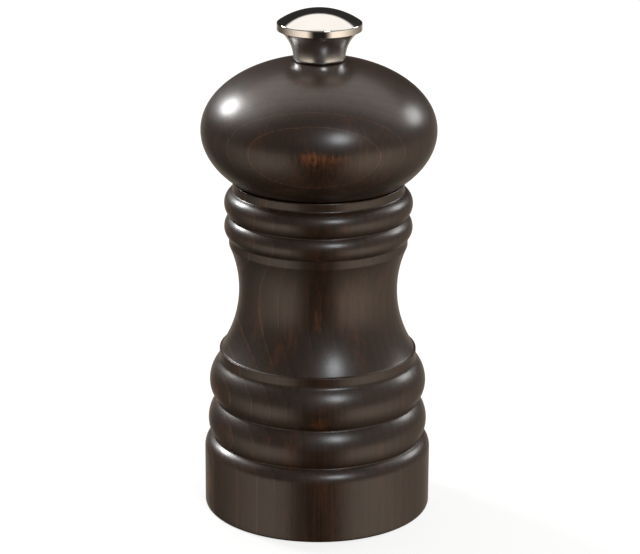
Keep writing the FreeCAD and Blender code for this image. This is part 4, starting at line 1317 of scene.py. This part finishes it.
def stained_beech(name, board_turn, board_shift, pith, bare, glow, spots, knot=None):
    """board_turn swings X, across the layers, round from +X; bare marks raw wood; glow is how much red shows;
    spots are the thinnest places in the stain, each with its centre, half widths and how bare it is;
    knot is the dark centre of one of them."""
    material, tree, shader, place = new_finish(
        name, Roughness=0.5, IOR=1.45, Specular_IOR_Level=0.25,
        Coat_Weight=0.9, Coat_Roughness=0.29, Coat_IOR=1.57)
    turn = math.radians(board_turn)
    board = add(tree, "ShaderNodeMapping", {"Vector": place, "Rotation": (0, 0, -turn),
                                            "Location": board_shift}).outputs[0]
    ring = use_group(tree, rings, Board=board, Pith_Distance=pith)
    fleck = use_group(tree, flecks, Board=board)
    hand = use_group(tree, handling, Place=place)
    marks = use_group(tree, lathe, Place=place, Per_Metre=5200.0)
    outward = add(tree, "ShaderNodeTexCoord").outputs["Normal"]
    along = add(tree, "ShaderNodeVectorMath", {0: outward, 1: (math.cos(turn), math.sin(turn), 0)},
                operation="DOT_PRODUCT").outputs["Value"]
    flat_cut = rising(tree, calc(tree, "ABSOLUTE", along), 0.25, 0.95, 0.32, 1.0)
    thin = rising(tree, noise(tree, board, (150, 150, 34), 3.0, 0.6), 0.48, 0.70)
    broken = scaled(tree, fleck["Streaks"], 0.75, 0.25)
    thin = times(tree, times(tree, thin, glow), broken)
    colour = blended(tree, ring["Late Wood"], STAIN, STAIN_LATE)
    colour = blended(tree, times(tree, fleck["Streaks"], 0.24), colour, STAIN_GLOW)
    colour = blended(tree, thin, colour, STAIN_GLOW)
    for centre, size, thinness in spots:
        spot = times(tree, times(tree, thin_spot(tree, place, centre, size), thinness),
                    scaled(tree, fleck["Streaks"], 0.7, 0.3))
        colour = blended(tree, spot, colour, THIN_STAIN)
    if knot:
        colour = blended(tree, thin_spot(tree, place, knot, (0.0008, 0.02, 0.0007)), colour, RAY)
    line = times(tree, ring["Line"], scaled(tree, ring["Year"], 0.5, 0.35))
    line = times(tree, line, scaled(tree, fleck["Streaks"], 0.55, 0.45))
    colour = blended(tree, times(tree, line, flat_cut), colour, YEAR_LINE)
    colour = blended(tree, times(tree, fleck["Rays"], 0.6), colour, RAY)
    colour = blended(tree, times(tree, fleck["Pores"], 0.16), colour, STAIN_GLOW)
    colour = blended(tree, times(tree, hand["Edges"], 0.30), colour, YEAR_LINE)
    # Hollows are darkened towards the ray colour
    colour = blended(tree, times(tree, hand["Hollows"], 0.50), colour, RAY)
    raw_mask = calc(tree, "MAXIMUM", ring["Line"], times(tree, ring["Late Wood"], 0.3))
    raw = blended(tree, raw_mask, RAW, RAW_LINE)
    raw = blended(tree, times(tree, fleck["Rays"], 0.7), raw, RAW_RAY)
    inside = bare(tree, place)
    feed(tree, shader.inputs["Base Color"], blended(tree, inside, colour, raw))
    dull = scaled(tree, hand["Patches"], 0.06, 0.46)
    feed(tree, shader.inputs["Roughness"], scaled(tree, inside, 0.3, dull))
    feed(tree, shader.inputs["Coat Weight"], scaled(tree, inside, -0.8, 0.8))
    open_grain = scaled(tree, fleck["Pores"], 0.6, fleck["Rays"])
    grain = bump(tree, open_grain, 0.32, 0.00005)
    feed(tree, shader.inputs["Normal"], bump(tree, marks["Height"], 0.12, 0.00004, grain))
    return material

# %% Where the wood is bare
def inside_body(tree, place):
    """Bare wood in the chamber and the neck, and in the recess under the foot."""
    wavy = scaled(tree, noise(tree, place, 300.0), 0.0012, from_axis(tree, place))
    recess = times(tree, rising(tree, wavy, 0.0222, 0.0208),
                  rising(tree, split(tree, place)["Z"], 0.0150, 0.0140))
    return calc(tree, "MAXIMUM", rising(tree, wavy, 0.0180, 0.0174), recess)


def inside_head(tree, place):
    """Bare wood on the tenon and in the shaft's hole."""
    tenon = rising(tree, split(tree, place)["Z"], head_low + 0.1 * MM, head_low - 0.6 * MM)
    return calc(tree, "MAXIMUM", rising(tree, from_axis(tree, place), 0.0047, 0.0044), tenon)


widest = max(head.data.vertices, key=lambda vertex: vertex.co.xy.length).co
front = -widest.xy.length
head_spots = [((-0.0012, front, widest.z + 0.0003), (0.0044, 0.02, 0.0022), 0.85),
              ((0.0042, front, widest.z), (0.0040, 0.02, 0.0015), 0.55),
              ((0.0, front, widest.z - 0.0012), (0.0100, 0.02, 0.0036), 0.16)]
body_spots = [((0.0, -0.019, 0.052), (0.0013, 0.02, 0.0040), 0.45),
              ((-0.0195, -0.006, 0.056), (0.0020, 0.006, 0.0060), 0.45),
              ((0.0005, -0.025, 0.029), (0.0030, 0.02, 0.0022), 0.40),
              ((-0.024, -0.010, 0.030), (0.0020, 0.006, 0.0040), 0.45),
              ((0.0010, -0.022, 0.083), (0.0024, 0.02, 0.0016), 0.35),
              ((-0.026, -0.008, 0.008), (0.0020, 0.005, 0.0060), 0.45)]
body_wood = stained_beech("stained beech, body", 188, (0.0, 0.004, 0.01), 0.045, inside_body, 0.72,
                          body_spots)
head_wood = stained_beech("stained beech, head", 267.4, (-0.00064, 0.0, 0.02), 0.034, inside_head, 0.50,
                          head_spots, knot=(-0.0013, front, widest.z))

# %% [markdown]
# ## Nickel plate
#
# Polished nickel is a warm mirror. What makes it real is that it is not quite perfect: hair-fine marks
# from the buffing wheel, which run round the knob, and a faint haze that varies in soft patches. The
# stem is harder to reach with the wheel, so it stays a little duller than the dome and the rim.

# %% Nickel plate
nickel, tree, shader, place = new_finish("nickel plate", Metallic=1.0)
hand = use_group(tree, handling, Place=place)
marks = use_group(tree, lathe, Place=place, Per_Metre=26000.0)
plate_tone = blended(tree, hand["Patches"], (0.71, 0.705, 0.695, 1), (0.755, 0.75, 0.74, 1))
feed(tree, shader.inputs["Base Color"], plate_tone)
stem_high = knob_low + KNOB_STEM_HEIGHT
on_stem = rising(tree, split(tree, place)["Z"], stem_high, stem_high - 1.2 * MM, 0.04, 0.19)
haze = scaled(tree, hand["Patches"], 0.02, on_stem)
feed(tree, shader.inputs["Roughness"], scaled(tree, marks["Height"], 0.03, haze))
feed(tree, shader.inputs["Normal"], bump(tree, marks["Height"], 0.02, 0.00002))

# %% [markdown]
# ## Working metals
#
# The metals inside are plain: zinc-plated sheet and screws, hardened burrs, brass bearings, drawn wire
# and bar. They share one recipe. The base colour drifts between two tones in soft patches, the making
# leaves fine lines that follow the tool or the die, edges that rub are bright, and hollows are darkened.

# %% Metal recipe
def worked_metal(name, tones, worn, dark_tone, roughness, lines, depth, metallic=1.0):
    """tones are two colours, worn is for rubbed edges, and the darker colour darkens the hollows and tints
    the tool lines; lines gives the height.
    """
    material, tree, shader, place = new_finish(name, Metallic=metallic)
    hand = use_group(tree, handling, Place=place, Patch_Size=60.0)
    height = lines(tree, place)
    colour = blended(tree, hand["Patches"], *tones)
    colour = blended(tree, times(tree, height, 0.07), colour, dark_tone)
    colour = blended(tree, times(tree, hand["Edges"], 0.8), colour, worn)
    # Hollows are darkened towards the darker colour
    feed(tree, shader.inputs["Base Color"], blended(tree, times(tree, hand["Hollows"], 0.7), colour, dark_tone))
    dull = scaled(tree, hand["Patches"], 0.08, roughness)
    dull = scaled(tree, hand["Hollows"], 0.15, dull)
    feed(tree, shader.inputs["Roughness"], scaled(tree, height, 0.08, dull))
    feed(tree, shader.inputs["Normal"], bump(tree, height, 0.25, depth))
    return material


def turned_lines(tree, place):
    """Rings from a lathe tool, or from a die that wire was drawn through before it was wound."""
    return use_group(tree, lathe, Place=place, Per_Metre=9000.0)["Height"]


def drawn_lines(tree, place):
    """Long scratches along Z, from the die that a bar is drawn through."""
    return noise(tree, place, (7000, 7000, 70), 3.0, 0.6)


def rolled_grain(tree, place):
    """The faint grain of rolled sheet, which runs across the mill."""
    return noise(tree, place, (300, 5200, 5200), 3.0, 0.6)


def fine_grit(tree, place):
    """The even tooth that hardening and blasting leave."""
    return noise(tree, place, 4200.0, 3.0, 0.65)

# %% Metals
sheet_steel = worked_metal(
    "zinc-plated sheet", ((0.56, 0.57, 0.58, 1), (0.64, 0.63, 0.59, 1)), (0.78, 0.78, 0.77, 1),
    (0.25, 0.24, 0.22, 1), 0.30, rolled_grain, 0.00002)
burr_steel = worked_metal(
    "hardened burr steel", ((0.270, 0.265, 0.262, 1), (0.345, 0.335, 0.325, 1)), (0.60, 0.59, 0.57, 1),
    (0.070, 0.060, 0.050, 1), 0.36, fine_grit, 0.00003)
brass = worked_metal(
    "turned brass", ((0.76, 0.54, 0.25, 1), (0.68, 0.46, 0.20, 1)), (0.87, 0.68, 0.38, 1),
    (0.26, 0.15, 0.06, 1), 0.22, turned_lines, 0.00002)
screw_zinc = worked_metal(
    "zinc-plated screws", ((0.60, 0.61, 0.63, 1), (0.68, 0.67, 0.63, 1)), (0.82, 0.82, 0.81, 1),
    (0.20, 0.19, 0.17, 1), 0.26, turned_lines, 0.00001)
wire_steel = worked_metal(
    "spring wire", ((0.34, 0.33, 0.33, 1), (0.42, 0.41, 0.39, 1)), (0.62, 0.61, 0.59, 1),
    (0.12, 0.11, 0.10, 1), 0.28, turned_lines, 0.00001)
bar_steel = worked_metal(
    "drawn bar", ((0.52, 0.52, 0.52, 1), (0.60, 0.59, 0.57, 1)), (0.76, 0.75, 0.74, 1),
    (0.22, 0.20, 0.18, 1), 0.25, drawn_lines, 0.00002)

# %% [markdown]
# ## Nylon
#
# The neck bush is moulded in dark nylon, so that it disappears in the seam under the head. Moulded
# plastic has a soft sheen, a faint orange-peel and paler, rubbed edges where the tenon slides in it.

# %% Nylon
nylon, tree, shader, place = new_finish("dark nylon", IOR=1.53, Coat_Weight=0.0)
hand = use_group(tree, handling, Place=place, Patch_Size=140.0)
peel = noise(tree, place, 1500.0, 2.0)
shade = blended(tree, hand["Patches"], (0.016, 0.0145, 0.013, 1), (0.024, 0.021, 0.018, 1))
shade = blended(tree, times(tree, hand["Edges"], 0.5), shade, (0.075, 0.068, 0.060, 1))
feed(tree, shader.inputs["Base Color"], shade)
feed(tree, shader.inputs["Roughness"], scaled(tree, peel, 0.12, 0.36))
feed(tree, shader.inputs["Normal"], bump(tree, peel, 0.2, 0.00004))

# %% [markdown]
# ## Putting the mill together
#
# Each piece stands for one part of the assembly and wears one finish, and all but the spring ride on one
# moving body. The spring's place is fixed into its mesh.

# %% Assembly
ASSEMBLY = [
    (body, "base", "mill_body", "stained_beech", body_wood),
    (neck_bush, "base", "neck_bush", "nylon", nylon),
    (shell, "base", "grinder_housing", "sheet_steel", sheet_steel),
    (burr, "base", "ring_burr", "hardened_steel", burr_steel),
    (spider, "base", "upper_bridge", "sheet_steel", sheet_steel),
    (bridge, "base", "bottom_bridge", "sheet_steel", sheet_steel),
    (bearing, "base", "bottom_bush", "turned_brass", brass),
    (guide, "guide", "guide_bush", "turned_brass", brass),
    (spring, None, "burr_spring", "spring_steel", wire_steel),
    (shaft, "shaft", "drive_shaft", "shaft_steel", bar_steel),
    (cone, "shaft", "cone_burr", "hardened_steel", burr_steel),
    (spring_seat, "shaft", "spring_seat", "sheet_steel", sheet_steel),
    (cone_washer, "shaft", "cone_washer", "sheet_steel", sheet_steel),
    (nut, "shaft", "cone_nut", "screw_steel", screw_zinc),
    (head, "head", "mill_head", "stained_beech", head_wood),
    (plate, "head", "drive_plate", "sheet_steel", sheet_steel),
    (knob_washer, "knob_seat", "knob_washer", "sheet_steel", sheet_steel),
    (knob, "knob", "knob", "nickel_plate", nickel),
]
for kind, rides_on in (("bridge_screw", "base"), ("housing_screw", "base"), ("plate_screw", "head")):
    ASSEMBLY += [(screw, rides_on, kind + "s", "screw_steel", screw_zinc) for screw in screws[kind]]
for piece, rides_on, node, slot_name, finish in ASSEMBLY:
    piece.data.materials.clear()
    piece.data.materials.append(finish)
    if rides_on:
        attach(piece, rides_on)
    else:
        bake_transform(piece)
    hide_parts(node)
print(len(ASSEMBLY), "pieces are in place")
